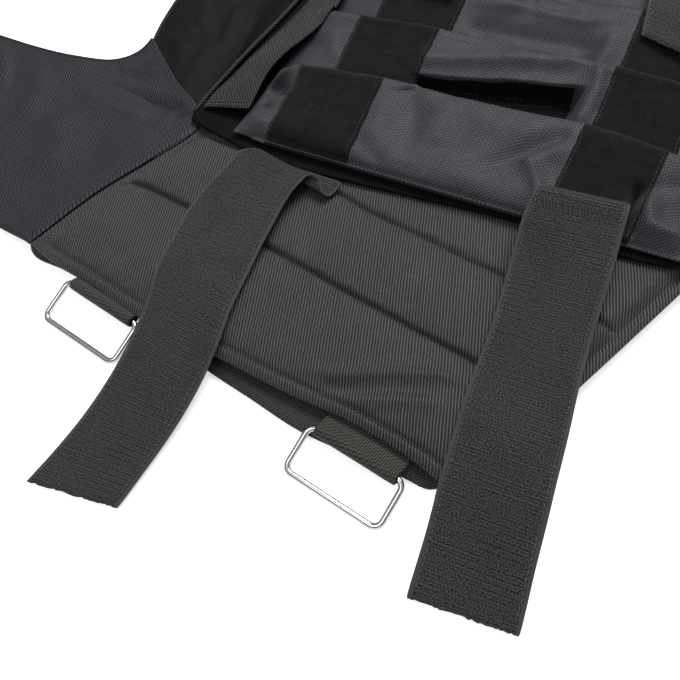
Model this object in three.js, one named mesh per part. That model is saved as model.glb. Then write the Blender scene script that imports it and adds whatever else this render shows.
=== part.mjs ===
// Weighted vest of black nylon, empty, laid down on a flat surface: the front
// with its pocket block is on top, the back lies folded under it.
// Millimetres, +X along the pocket rows, +Y towards the neck, +Z up.
// The tables below are in the frame of the pocket block (x = 0 midway between
// the two hook straps, y = 0 at the bottom of the first pocket row, z = 0 on
// the surface the vest lies on); the finished group is then moved so that its
// origin is the middle of the underside of its bounding box.
import * as THREE from 'three';
import { mergeVertices } from 'three/addons/utils/BufferGeometryUtils.js';

// ---------------------------------------------------------------- sizes
const CENTRE_X = 8;            // middle line of the vest's body
const CLOTH = 2.5;             // two plies of coated nylon with lining
const POCKET_WALL = 2;         // front wall of a pocket
const PLUSH = 1.6;             // loop (plush) patch
const HOOK = 1.8;              // hook strap
const HOOK_WIDTH = 50;
const WIRE = 1.6;              // radius of the ring's wire
const RING_W = 55.2;           // ring, between the centrelines of its legs
const RING_H = 25;
const RING_CORNER = 4.6;
const RING_AXIS_Z = 8;         // height of the bar held in its loop
const RING_LOW_Z = 1.6;        // height of the free bar
const LOOP_W = 47;             // webbing that holds a ring
const TUNNEL = 2.25;           // radius of the tunnel round the bar
const WEB = 1.3;               // thickness of one ply of webbing
const GAP = 0.45;              // space kept between neighbours
const ROW_PITCH = 51.5;        // from one pocket row to the next
const ROWS = 4;
const POCKET_LEFT = -122, POCKET_RIGHT = 142;

// The joined rows of each padded or plain sheet, from its lower line to its
// upper line. xl, yl and xr, yr are its left and right ends in plan, zl and zr
// the heights of its underside there, t its thickness, bow how far the middle
// of the line is moved along Y.
const LOWER_PANEL = [
  { line: 'hem',       xl: -204, yl: -109, xr: 85,  yr: -153.6, zl: 8, zr: 8, t: 3,   bow: 1 },
  { line: 'topstitch', xl: -202, yl: -101, xr: 88,  yr: -145.6, zl: 8, zr: 8, t: 5.6, bow: 1 },
  { line: 'bay 1',     xl: -192, yl: -79,  xr: 96.4,  yr: -123.6, zl: 8, zr: 8, t: 8.4, bow: 0 },
  { line: 'quilt A',   xl: -179, yl: -52,  xr: 107, yr: -96.6,  zl: 8, zr: 8, t: 5.2, bow: -2 },
  { line: 'bay 2',     xl: -165, yl: -26,  xr: 116.2, yr: -73.6,  zl: 8, zr: 8, t: 8.6, bow: -2 },
  { line: 'quilt B',   xl: -153, yl: -2,   xr: 126, yr: -49.6,  zl: 8, zr: 8, t: 5.4, bow: -2 },
  { line: 'bay 3',     xl: -151, yl: 4,    xr: 137.8, yr: -21.6,  zl: 8, zr: 8, t: 7.2, bow: 0 },
  { line: 'tuck',      xl: -149, yl: 9,    xr: 150, yr: 4,    zl: 8, zr: 8, t: 4.6, bow: 0 },
];
const BACK_PANEL = [
  { line: 'hem',      xl: -200, yl: -114, xr: 80,  yr: -158, zl: 0.6, zr: 0.6, t: 3,   bow: -6 },
  { line: 'hem pad',  xl: -196, yl: -100, xr: 84,  yr: -146, zl: 0,   zr: 0,   t: 4.2, bow: -4 },
  { line: 'waist',    xl: -172, yl: -50,  xr: 104, yr: -92,  zl: 0,   zr: 0,   t: 4.2, bow: 0 },
  { line: 'waist up', xl: -150, yl: 8,    xr: 146, yr: 0,    zl: 0,   zr: 0,   t: 4.2, bow: 0 },
  { line: 'side',     xl: -206, yl: 66,   xr: 222, yr: 66,   zl: 0,   zr: 0,   t: 4.2, bow: 0 },
  { line: 'chest',    xl: -206, yl: 120,  xr: 222, yr: 120,  zl: 0,   zr: 0,   t: 4.2, bow: 0 },
  { line: 'yoke',     xl: -200, yl: 200,  xr: 216, yr: 200,  zl: 0,   zr: 0,   t: 4.2, bow: 0 },
  { line: 'top',      xl: -196, yl: 231,  xr: 212, yr: 231,  zl: 0,   zr: 0,   t: 4.2, bow: -4 },
];
const FRONT_BODY = [
  { line: 'hem',     xl: -152, yl: 0,   xr: 164, yr: 0,   zl: 16.6, zr: 16.6, t: CLOTH, bow: -11 },
  { line: 'seam',    xl: -152, yl: 14,  xr: 166, yr: 14,  zl: 15.0, zr: 15.0, t: CLOTH, bow: 0 },
  { line: 'row 1',   xl: -151, yl: 40,  xr: 166, yr: 40,  zl: 12.8, zr: 12.8, t: CLOTH, bow: 0 },
  { line: 'row 2',   xl: -148, yl: 90,  xr: 164, yr: 90,  zl: 11.6, zr: 11.6, t: CLOTH, bow: 0 },
  { line: 'row 3',   xl: -139, yl: 140, xr: 155, yr: 140, zl: 11.2, zr: 11.2, t: CLOTH, bow: 0 },
  { line: 'row 4',   xl: -129, yl: 190, xr: 145, yr: 190, zl: 11.0, zr: 11.0, t: CLOTH, bow: 0 },
  { line: 'neck',    xl: -118, yl: 232, xr: 134, yr: 232, zl: 10.8, zr: 10.8, t: CLOTH, bow: -14 },
];
// Front side piece, left; the right one is its mirror image about CENTRE_X.
const SIDE_PIECE = [
  { line: 'wing seam', xl: -222, yl: 58,  xr: -157, yr: 9,   zl: 6.2, zr: 13.6, t: CLOTH, bow: 0 },
  { line: 'armhole 1', xl: -224, yl: 80,  xr: -152.4, yr: 40,  zl: 6.4, zr: 13.0, t: CLOTH, bow: 0 },
  { line: 'armhole 2', xl: -221, yl: 112, xr: -149.6, yr: 86, zl: 6.6, zr: 12.0, t: CLOTH, bow: 0 },
  { line: 'armhole 3', xl: -211, yl: 160, xr: -140, yr: 150, zl: 6.8, zr: 11.4, t: CLOTH, bow: 0 },
  { line: 'shoulder',  xl: -200, yl: 228, xr: -120.4, yr: 228, zl: 8.4, zr: 10.6, t: CLOTH, bow: 0 },
];
// Left wing, each line from the seam on the right to the tip on the left; the
// first line is its lower edge and the last the armhole edge.
const WING_LEFT = [
  { line: 'lower',  xs: -206.6,  ys: -109, xm: -262, ym: -99, xt: -384, yt: -84, zs: 6.4 },
  { line: 'low',    xs: -189, ys: -66,  xm: -252, ym: -62, xt: -387, yt: -50, zs: 7.6 },
  { line: 'middle', xs: -168.6, ys: -27,  xm: -243, ym: -26, xt: -389, yt: -18, zs: 8.6 },
  { line: 'corner', xs: -156.6, ys: 0,    xm: -240, ym: 4,   xt: -390, yt: 12,  zs: 9.2 },
  { line: 'upper',  xs: -188,  ys: 30.5,  xm: -244, ym: 22,  xt: -389, yt: 30,  zs: 7.4 },
  { line: 'arm',    xs: -223,  ys: 56.5,  xm: -252, ym: 35.5, xt: -387, yt: 43, zs: 6.2 },
];
const WING_DROP = [ // distance from the seam as a share, and share of the height left
  { at: 0, left: 1 }, { at: 0.1, left: 0.62 }, { at: 0.25, left: 0.18 },
  { at: 0.4, left: 0.0 }, { at: 0.6, left: 0.0 }, { at: 0.8, left: 0 }, { at: 1, left: 0 },
];
// Right wing, turned under along the right edge of the lower panel: the path of
// its middle surface, out is the distance from that edge.
const WING_RIGHT_PATH = [
  { out: 1.6,  z: 11.6 }, { out: 3.2, z: 10.8 }, { out: 3.9, z: 9.0 }, { out: 2.8, z: 6.9 },
  { out: 0,    z: 6.0 },  { out: -50, z: 6.0 }, { out: -100, z: 6.0 }, { out: -150, z: 6.0 },
];
const WING_RIGHT_ENDS = { x0: 90, y0: -141.4, x1: 146.8, y1: -1.4, rise: 40 }; // rise: how far the lower corner moves up at the inner end
const WING_RIGHT_T = 2.2;

// Pocket wall, from its sewn bottom to its free upper edge: y from the bottom
// of the row, lift above the body cloth.
const POCKET = [
  { y: 0,  lift: 0 }, { y: 9, lift: 5.6 }, { y: 24, lift: 10.6 }, { y: 40, lift: 15.0 }, { y: 55, lift: 17.6 },
];
// share of the lift kept along a row, from its left end
const POCKET_ENDS = [
  { x: 0, keep: 0 }, { x: 8, keep: 0.55 }, { x: 24, keep: 0.94 }, { x: 49, keep: 1 }, { x: 75, keep: 1 },
  { x: 104, keep: 0.9 }, { x: 132, keep: 0.96 }, { x: 160, keep: 0.9 }, { x: 190, keep: 1 },
  { x: 216, keep: 1 }, { x: 240, keep: 0.94 }, { x: 256, keep: 0.55 }, { x: 264, keep: 0 },
];
const POCKET_END_SHARE = 0.915; // height of the sewn ends over that of the middle
const PATCHES = [
  { row: 0, left: -98, right: 69 }, { row: 1, left: -84, right: 74 },
  { row: 2, left: -82, right: 76 }, { row: 3, left: -81, right: 77 },
];
const PATCH_W = 50;

// Strip along each side of the pocket block: inner edge stands over the rows.
const SIDE_STRIP = [
  { line: 'hem',    xl: -150.5, yl: 13,  xr: -127, yr: 17,  zl: 18.4, zr: 25, t: 1.8, bow: 0 },
  { line: 'low',    xl: -149, yl: 45,  xr: -125.5, yr: 45,  zl: 16.4, zr: 29, t: 1.8, bow: 0 },
  { line: 'middle', xl: -146, yl: 90,  xr: -124, yr: 90,  zl: 15.0, zr: 30, t: 1.8, bow: 0 },
  { line: 'high',   xl: -137, yl: 140, xr: -124, yr: 140, zl: 14.6, zr: 29, t: 1.8, bow: 0 },
  { line: 'top',    xl: -128.5, yl: 188, xr: -124, yr: 188, zl: 14.4, zr: 24, t: 1.8, bow: 0 },
];

// Flat straps: middle line, heading of their width in degrees, and the
// angle of an end cut askew.
const HOOK_LEFT = [
  { part: 'root',  x: -82,  y: -28, z: 17.8, turn: 3 },
  { part: 'rise',  x: -82,  y: -20, z: 18.2, turn: 3 },
  { part: 'fold',  x: -82,  y: -17.4, z: 19.7, turn: 3 },
  { part: 'over',  x: -82.5,  y: -19.4, z: 21.4, turn: 3 },
  { part: 'lie',   x: -86,  y: -31, z: 21.4, turn: 6 },
  { part: 'lie',   x: -91,  y: -52, z: 20.4, turn: 5 },
  { part: 'lie',   x: -91.5, y: -80, z: 19.4, turn: 3 },
  { part: 'lie',   x: -88,  y: -107, z: 18.8, turn: -3 },
  { part: 'hem',   x: -83.6,  y: -126, z: 15.8, turn: -5 },
  { part: 'drop',  x: -83.4, y: -144, z: 11.4, turn: -3 },
  { part: 'drop',  x: -85,  y: -164, z: 7.4, turn: 0 },
  { part: 'rest',  x: -87,  y: -186, z: 4.0, turn: 3 },
  { part: 'rest',  x: -91,  y: -208, z: 1.9, turn: 5 },
  { part: 'end',   x: -95,  y: -228, z: 1.3, turn: 5, cut: 15 },
];
const HOOK_RIGHT = [
  { part: 'root',  x: 83,  y: -14, z: 19.6, turn: 4 },
  { part: 'rise',  x: 83.4,  y: -5,  z: 24.8, turn: 4 },
  { part: 'up',    x: 83.8,  y: 6,   z: 30.0, turn: 4 },
  { part: 'fold',  x: 84,  y: 11.4,  z: 32.0, turn: 4 },
  { part: 'fold',  x: 84,  y: 13,  z: 34.0, turn: 4 },
  { part: 'over',  x: 84,  y: 10.6,  z: 35.6, turn: 4 },
  { part: 'lie',   x: 84.5, y: -6, z: 31.2, turn: 4 },
  { part: 'lie',   x: 86,  y: -22, z: 26.0, turn: 3 },
  { part: 'lie',   x: 88,  y: -44, z: 21.6, turn: 4 },
  { part: 'lie',   x: 89.5, y: -70, z: 19.4, turn: 4 },
  { part: 'lie',   x: 91,  y: -96, z: 17.8, turn: 4 },
  { part: 'lie',   x: 93,  y: -122, z: 18.4, turn: 4 },
  { part: 'hem',   x: 95,  y: -146, z: 15.8, turn: 4 },
  { part: 'drop',  x: 97,  y: -164, z: 10.2, turn: 4 },
  { part: 'rest',  x: 99,  y: -184, z: 4.6, turn: 4 },
  { part: 'end',   x: 101, y: -201, z: 1.5, turn: 4 },
];
// Upper hook straps, sewn at the neck and lying down over the pocket rows.
const TOP_STRAP = [
  { part: 'root', y: 220, z: 17.2 }, { part: 'over row 4', y: 212, z: 38.2 },
  { part: 'row 4', y: 185, z: 33.8 }, { part: 'mouth 3', y: 160, z: 38.4 },
  { part: 'row 3', y: 136, z: 33.9 },
];

// Rings and their webbing loops: the middle of the held bar and its heading.
const RINGS = [
  { side: 'left',  x: -140.1, y: -127.6, turn: -10.5 },
  { side: 'right', x: 28.6,   y: -153.2, turn: -9.5 },
];
// Outline of the loop in section, s from the bar towards the vest, z from the bar
const LOOP_ROOT = { s: 26, z: -1.95 };

// Shoulder strap, front to back over the fold: middle line and width.
const SHOULDER = [
  { x: -158, y: 229, z: 12.2, w: 78 }, { x: -158, y: 236, z: 12.6, w: 78 },
  { x: -149, y: 262, z: 13.6, w: 74 }, { x: -143, y: 287, z: 13.4, w: 71 },
  { x: -142, y: 294, z: 11.6, w: 70 }, { x: -142, y: 296.8, z: 8.2, w: 70 },
  { x: -142, y: 294, z: 5.0, w: 70 }, { x: -143, y: 287, z: 3.0, w: 71 },
  { x: -150, y: 262, z: 2.7, w: 76 }, { x: -155, y: 242, z: 2.6, w: 80 }, { x: -155, y: 232.2, z: 2.6, w: 80 },
];
const SHOULDER_T = 4.6;

// ---------------------------------------------------------------- helpers
const rad = THREE.MathUtils.degToRad;
const lerp = THREE.MathUtils.lerp;

function tidy(geometry) { // one closed body with its faces pointing out
  geometry.deleteAttribute('normal');
  geometry.deleteAttribute('uv');
  const g = mergeVertices(geometry, 1e-4);
  const p = g.attributes.position, i = g.index;
  let volume = 0;
  const a = new THREE.Vector3(), b = new THREE.Vector3(), c = new THREE.Vector3();
  for (let k = 0; k < i.count; k += 3) {
    a.fromBufferAttribute(p, i.getX(k)); b.fromBufferAttribute(p, i.getX(k + 1)); c.fromBufferAttribute(p, i.getX(k + 2));
    volume += a.dot(b.cross(c));
  }
  if (volume < 0) for (let k = 0; k < i.count; k += 3) { const t = i.getX(k + 1); i.setX(k + 1, i.getX(k + 2)); i.setX(k + 2, t); }
  g.computeVertexNormals();
  return g;
}

// A slab of nu by nv cells: place(u, v, side) gives the point, side 0 or 1.
function slab(nu, nv, place) {
  const g = new THREE.BoxGeometry(1, 1, 1, nu, nv, 1);
  const p = g.attributes.position;
  for (let k = 0; k < p.count; k++) {
    const q = place(p.getX(k) + 0.5, p.getY(k) + 0.5, p.getZ(k) > 0 ? 1 : 0);
    p.setXYZ(k, q[0], q[1], q[2]);
  }
  return tidy(g);
}

// value of a named column of a table at a share v of its length
function column(table, name, v) {
  const f = Math.min(Math.max(v, 0), 1) * (table.length - 1), i = Math.min(Math.floor(f), table.length - 2);
  return lerp(table[i][name], table[i + 1][name], f - i);
}
// value of column name where column key equals x, held at the ends
function lookup(table, key, name, x) {
  if (x <= table[0][key]) return table[0][name];
  for (let i = 1; i < table.length; i++) if (x <= table[i][key])
    return lerp(table[i - 1][name], table[i][name], (x - table[i - 1][key]) / (table[i][key] - table[i - 1][key]));
  return table[table.length - 1][name];
}

// Sheet through the rows of a table, with padded edges thinned by edge.
function rowSheet(table, nu, edge = 1, mirror = false) {
  return slab(nu, table.length - 1, (u, v, side) => {
    const c = (n) => column(table, n, v);
    const hump = 1 - (2 * u - 1) ** 2;
    const thin = (u < 1e-6 || u > 1 - 1e-6) ? edge : 1;
    let x = lerp(c('xl'), c('xr'), u);
    const y = lerp(c('yl'), c('yr'), u) + c('bow') * hump;
    const z = lerp(c('zl'), c('zr'), u) + side * c('t') * thin;
    if (mirror) x = 2 * CENTRE_X - x;
    return [x, y, z];
  });
}

// Flat strap along the rows of a table; w is its width, t its thickness.
function strap(rows, w, t, nu = 2) {
  const n = rows.length;
  const at = rows.map((r, i) => {
    const a = rows[Math.max(i - 1, 0)], b = rows[Math.min(i + 1, n - 1)];
    const along = new THREE.Vector3(b.x - a.x, b.y - a.y, b.z - a.z).normalize();
    const across = new THREE.Vector3(Math.cos(rad(r.turn ?? 0)), Math.sin(rad(r.turn ?? 0)), 0);
    across.addScaledVector(along, -across.dot(along)).normalize();
    const up = new THREE.Vector3().crossVectors(across, along).normalize();
    if (r.cut) across.addScaledVector(along, -Math.tan(rad(r.cut))); // end cut askew
    return { p: new THREE.Vector3(r.x, r.y, r.z), across, up, w: r.w ?? w };
  });
  return slab(nu, n - 1, (u, v, side) => {
    const s = at[Math.round(v * (n - 1))];
    const q = s.p.clone().addScaledVector(s.across, (u - 0.5) * s.w).addScaledVector(s.up, (side - 0.5) * t);
    return [q.x, q.y, q.z];
  });
}

// underside height of the front body over its length, and its upper face
const bodyTop = (y) => lookup(FRONT_BODY.map((r) => ({ y: (r.yl + r.yr) / 2, z: r.zl + r.t })), 'y', 'z', y);

// height of the underside of a pocket wall at x, y of row r
function pocketUnder(x, y, r) {
  const y0 = r * ROW_PITCH;
  return bodyTop(y) + GAP + lookup(POCKET, 'y', 'lift', y - y0) * lookup(POCKET_ENDS, 'x', 'keep', x - POCKET_LEFT);
}

// ---------------------------------------------------------------- pieces
const group = new THREE.Group();
function piece(name, geometry, color, roughness, metalness = 0) {
  const m = new THREE.Mesh(geometry, new THREE.MeshStandardMaterial({ color, roughness, metalness }));
  m.name = name;
  group.add(m);
  return m;
}
const NYLON = 0x33343a, NYLON_SIDE = 0x2c2d32, PLUSH_BLACK = 0x1d1d1d, HOOK_BLACK = 0x2b2b2d, WEBBING = 0x262421, STEEL = 0xc9cbce;

piece('back_panel', rowSheet(BACK_PANEL, 10, 0.7), NYLON_SIDE, 0.8);
piece('lower_panel', rowSheet(LOWER_PANEL, 12, 0.5), NYLON, 0.75);
piece('front_body', rowSheet(FRONT_BODY, 12), NYLON, 0.75);
piece('side_piece_left', rowSheet(SIDE_PIECE, 4), NYLON_SIDE, 0.7);
piece('side_piece_right', rowSheet(SIDE_PIECE, 4, 1, true), NYLON_SIDE, 0.7);

// left wing: from the seam down on to the surface, then flat to the tip
piece('wing_left', slab(WING_DROP.length - 1, WING_LEFT.length - 1, (u, v, side) => {
  const c = (n) => column(WING_LEFT, n, v);
  const d = WING_DROP[Math.round(u * (WING_DROP.length - 1))];
  const s = d.at, k = 2 * s * (1 - s), a = (1 - s) * (1 - s), b = s * s;
  // quadratic through seam, control point and tip
  const x = a * c('xs') + k * c('xm') + b * c('xt'), y = a * c('ys') + k * c('ym') + b * c('yt');
  return [x, y, (c('zs')) * d.left + side * CLOTH];
}), NYLON_SIDE, 0.7);

// right wing: turned under along the right edge of the lower panel
piece('wing_right', (() => {
  const { x0, y0, x1, y1, rise } = WING_RIGHT_ENDS, n = WING_RIGHT_PATH.length;
  const along = new THREE.Vector2(x1 - x0, y1 - y0).normalize(), out = new THREE.Vector2(along.y, -along.x);
  return slab(n - 1, 4, (u, v, side) => {
    const i = Math.round(u * (n - 1)), r = WING_RIGHT_PATH[i];
    const a = WING_RIGHT_PATH[Math.max(i - 1, 0)], b = WING_RIGHT_PATH[Math.min(i + 1, n - 1)];
    const t = new THREE.Vector2(b.out - a.out, b.z - a.z).normalize();
    const o = r.out + (side - 0.5) * WING_RIGHT_T * -t.y, z = r.z + (side - 0.5) * WING_RIGHT_T * t.x;
    const inward = Math.max(-r.out, 0) / 150;
    return [lerp(x0, x1, v) + out.x * o, lerp(y0, y1, v) + out.y * o + inward * rise * (1 - v), z];
  });
})(), NYLON_SIDE, 0.7);

// pocket rows: each wall is sewn down at the bottom and both ends
for (let r = 0; r < ROWS; r++) {
  piece(`pocket_row_${r + 1}`, slab(POCKET_ENDS.length - 1, POCKET.length - 1, (u, v, side) => {
    const e = POCKET_ENDS[Math.round(u * (POCKET_ENDS.length - 1))], k = POCKET[Math.round(v * (POCKET.length - 1))];
    const x = POCKET_LEFT + e.x, y = r * ROW_PITCH + k.y * (e.keep ? 1 : POCKET_END_SHARE);
    return [x, y, pocketUnder(x, y, r) + side * POCKET_WALL];
  }), NYLON, 0.72);
}

// loop patches on the pocket walls, a little lower than the free edge
for (const row of PATCHES) for (const side of ['left', 'right']) {
  const x0 = row[side], r = row.row;
  const xs = [x0, ...POCKET_ENDS.map((e) => POCKET_LEFT + e.x).filter((x) => x > x0 + 0.5 && x < x0 + PATCH_W - 0.5), x0 + PATCH_W];
  const ys = [1.5, 9, 24, 40, 53.5].map((y) => r * ROW_PITCH + y);
  piece(`loop_patch_${side}_${r + 1}`, slab(xs.length - 1, ys.length - 1, (u, v, s) => {
    const x = xs[Math.round(u * (xs.length - 1))], y = ys[Math.round(v * (ys.length - 1))];
    return [x, y, pocketUnder(x, y, r) + POCKET_WALL + GAP + s * PLUSH];
  }), PLUSH_BLACK, 0.95);
}

piece('side_strip_left', rowSheet(SIDE_STRIP, 3), NYLON, 0.75);
piece('side_strip_right', rowSheet(SIDE_STRIP.map((r) => ({ ...r, xl: r.xl - 1.5, xr: r.xr - 1.5 })), 3, 1, true), NYLON, 0.75);

piece('hook_strap_left', strap(HOOK_LEFT, HOOK_WIDTH, HOOK), HOOK_BLACK, 0.85);
piece('hook_strap_right', strap(HOOK_RIGHT, HOOK_WIDTH, HOOK), HOOK_BLACK, 0.85);
for (const [side, x] of [['left', -60], ['right', 95]]) {
  piece(`top_strap_${side}`, strap(TOP_STRAP.map((r) => ({ ...r, x, turn: 0 })), HOOK_WIDTH, HOOK), HOOK_BLACK, 0.85);
}

// shoulder straps, folded over from the front to the back
for (const [side, s] of [['left', 1], ['right', -1]]) {
  piece(`shoulder_${side}`, strap(SHOULDER.map((r) => ({ ...r, x: s > 0 ? r.x : 2 * CENTRE_X - r.x, turn: 0 })), 80, SHOULDER_T, 2), NYLON_SIDE, 0.75);
}

// rings with their webbing loops; each ring turns about its held bar
function ringPath(n) { // centreline of the rounded rectangle, held bar at y = 0
  const w = RING_W / 2, h = RING_H, c = RING_CORNER, pts = [];
  const corner = (x, y, a0) => { for (let k = 0; k <= n; k++) { const a = a0 + (k / n) * Math.PI / 2; pts.push(new THREE.Vector2(x + c * Math.cos(a), y + c * Math.sin(a))); } };
  corner(w - c, -c, 0); corner(-w + c, -c, Math.PI / 2); corner(-w + c, -h + c, Math.PI); corner(w - c, -h + c, 1.5 * Math.PI);
  return pts;
}
for (const ring of RINGS) {
  const pitch = Math.asin((RING_AXIS_Z - RING_LOW_Z) / RING_H);
  const path = ringPath(4), n = path.length, g = new THREE.TorusGeometry(10, 2, 8, n);
  const p = g.attributes.position;
  for (let k = 0; k < p.count; k++) {
    const around = Math.atan2(p.getY(k), p.getX(k)), i = ((Math.round(around / (2 * Math.PI) * n) % n) + n) % n;
    const rr = Math.hypot(p.getX(k), p.getY(k)) - 10, zz = p.getZ(k);
    const q = path[i], a = path[(i + n - 1) % n], b = path[(i + 1) % n];
    const out = new THREE.Vector2(b.y - a.y, a.x - b.x).normalize();
    // section: an octagon with a flat side down
    const turn = Math.atan2(zz, rr) + Math.PI / 8, ro = WIRE * Math.cos(turn), zo = WIRE * Math.sin(turn);
    p.setXYZ(k, q.x + out.x * ro, q.y + out.y * ro, zo);
  }
  const m = piece(`ring_${ring.side}`, tidy(g), STEEL, 0.15, 1);
  m.rotation.order = 'ZYX';
  m.rotation.set(pitch, 0, rad(ring.turn));
  m.position.set(ring.x, ring.y, RING_AXIS_Z);

  // the loop's section: a tube round the bar and two plies to the root
  const R = TUNNEL + WEB, shape = new THREE.Shape(), half = WEB + 0.1;
  const start = Math.asin(half / R) + 0.25;
  for (let k = 0; k <= 12; k++) {
    const a = lerp(start, 2 * Math.PI - start, k / 12), s = R * Math.cos(a), z = R * Math.sin(a);
    k ? shape.lineTo(s, z) : shape.moveTo(s, z);
  }
  shape.lineTo(9, LOOP_ROOT.z - half); shape.lineTo(LOOP_ROOT.s, LOOP_ROOT.z - half);
  shape.lineTo(LOOP_ROOT.s, LOOP_ROOT.z + half); shape.lineTo(9, LOOP_ROOT.z + half);
  shape.closePath();
  const hole = new THREE.Path();
  for (let k = 0; k <= 12; k++) { const a = -k / 12 * 2 * Math.PI; k ? hole.lineTo(TUNNEL * Math.cos(a), TUNNEL * Math.sin(a)) : hole.moveTo(TUNNEL, 0); }
  shape.holes.push(hole);
  const web = new THREE.ExtrudeGeometry(shape, { depth: LOOP_W, bevelEnabled: false, steps: 1 });
  // shape x -> towards the vest, shape y -> up, depth -> along the bar
  web.applyMatrix4(new THREE.Matrix4().makeBasis(new THREE.Vector3(0, 1, 0), new THREE.Vector3(0, 0, 1), new THREE.Vector3(1, 0, 0)));
  web.translate(-LOOP_W / 2, 0, 0);
  const wm = piece(`ring_loop_${ring.side}`, tidy(web), WEBBING, 0.9);
  wm.rotation.set(0, 0, rad(ring.turn));
  wm.position.set(ring.x, ring.y, RING_AXIS_Z);
}

// origin: middle of the underside of the bounding box
group.updateMatrixWorld(true);
const box = new THREE.Box3().setFromObject(group, true), mid = box.getCenter(new THREE.Vector3());
group.position.set(-mid.x, -mid.y, -box.min.z);
group.updateMatrixWorld(true);

export default group;
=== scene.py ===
"""Looks of a black nylon weighted vest, empty, lying on a pale floor.

Tables are in millimetres in the frame of the pocket block (x = 0 midway
between the two hook straps, y = 0 at the bottom of the first pocket row,
z = 0 on the floor); world() takes them to the row frame in metres.
"""
import math

import bpy
import numpy as np
from mathutils import Matrix, Vector
from mathutils.bvhtree import BVHTree

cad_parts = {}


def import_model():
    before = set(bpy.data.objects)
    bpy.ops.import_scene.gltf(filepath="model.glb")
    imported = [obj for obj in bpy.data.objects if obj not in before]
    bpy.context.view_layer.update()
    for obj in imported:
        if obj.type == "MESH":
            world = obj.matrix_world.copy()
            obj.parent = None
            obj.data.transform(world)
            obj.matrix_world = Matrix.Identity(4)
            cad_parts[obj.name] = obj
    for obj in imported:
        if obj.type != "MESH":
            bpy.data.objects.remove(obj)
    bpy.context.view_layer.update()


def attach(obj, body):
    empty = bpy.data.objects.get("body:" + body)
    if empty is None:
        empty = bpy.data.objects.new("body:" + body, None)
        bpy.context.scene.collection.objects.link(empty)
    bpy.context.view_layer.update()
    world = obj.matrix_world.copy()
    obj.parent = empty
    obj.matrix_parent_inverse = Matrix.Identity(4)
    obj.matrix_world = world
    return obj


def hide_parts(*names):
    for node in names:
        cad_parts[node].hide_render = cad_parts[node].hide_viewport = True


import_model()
SCENE = bpy.context.scene
SHIFT = np.array([75.0, -34.7, 0.0])
ROW_PITCH = 51.5
CENTRE_X = 8.0


def world(p):
    return (np.asarray(p, float) + SHIFT) * 0.001


# ---------------------------------------------------------------- camera, light
def make_camera():
    cam = bpy.data.cameras.new("camera")
    ob = bpy.data.objects.new("camera", cam)
    SCENE.collection.objects.link(ob)
    cam.sensor_width, cam.lens, cam.clip_start, cam.clip_end = 36, 40.408, 0.01, 50
    e, r, yaw = math.radians(60.78), math.radians(-13.4), math.radians(37)
    right = Vector((math.cos(yaw), math.sin(yaw), 0))
    ahead = Vector((-math.sin(yaw), math.cos(yaw), 0))
    down = Vector((0, 0, -1))
    forward = ahead * math.cos(e) + down * math.sin(e)
    up = ahead * math.sin(e) - down * math.cos(e)
    x = right * math.cos(r) + up * math.sin(r)
    y = up * math.cos(r) - right * math.sin(r)
    m = Matrix((x, y, -forward)).transposed().to_4x4()
    m.translation = Vector((0.186745, -0.289949, 0.35593))
    ob.matrix_world = m
    SCENE.camera = ob


def area_light(name, at, to, size, power, size_y=None, colour=(1, 1, 1)):
    l = bpy.data.lights.new(name, "AREA")
    l.shape, l.size, l.size_y = "RECTANGLE", size, size_y or size
    l.energy, l.color = power, colour
    ob = bpy.data.objects.new(name, l)
    SCENE.collection.objects.link(ob)
    ob.location = at
    ob.rotation_euler = (Vector(to) - Vector(at)).to_track_quat("-Z", "Y").to_euler()
    return ob


def studio():
    SCENE.view_settings.view_transform = "Standard"
    SCENE.view_settings.look = "None"
    w = bpy.data.worlds.new("studio")
    SCENE.world = w
    w.use_nodes = True
    nt = w.node_tree
    bg = nt.nodes["Background"]
    co = nt.nodes.new("ShaderNodeTexCoord")
    sep = nt.nodes.new("ShaderNodeSeparateXYZ")
    ramp = nt.nodes.new("ShaderNodeValToRGB")
    nt.links.new(co.outputs["Generated"], sep.inputs[0])
    nt.links.new(sep.outputs["Z"], ramp.inputs[0])
    stops = [(0.0, 0.10), (0.28, 0.07), (0.48, 0.35), (0.66, 0.9), (1.0, 1.0)]
    e = ramp.color_ramp.elements
    while len(e) < len(stops):
        e.new(0.5)
    for k, (at, v) in enumerate(stops):
        e[k].position = at
        e[k].color = (v, v, v * 1.015, 1)
    nt.links.new(ramp.outputs[0], bg.inputs[0])
    bg.inputs[1].default_value = 0.58
    area_light("softbox_back", (0.15, 1.08, 1.6), (0.05, -0.02, 0), 1.05, 41, 0.9)
    area_light("softbox_front", (-0.1, -0.9, 1.5), (0.05, -0.02, 0), 0.9, 7, 0.9)
    bpy.ops.mesh.primitive_plane_add(size=14, location=(0, 0, -0.0002))
    floor = bpy.context.object
    floor.name = "floor"
    m = bpy.data.materials.new("floor")
    m.use_nodes = True
    b = m.node_tree.nodes["Principled BSDF"]
    b.inputs["Base Color"].default_value = (0.93, 0.93, 0.93, 1)
    b.inputs["Roughness"].default_value = 0.9
    b.inputs["Specular IOR Level"].default_value = 0.1
    b.inputs["Emission Color"].default_value = (1, 1, 1, 1)
    b.inputs["Emission Strength"].default_value = 0.55
    floor.data.materials.append(m)


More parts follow.
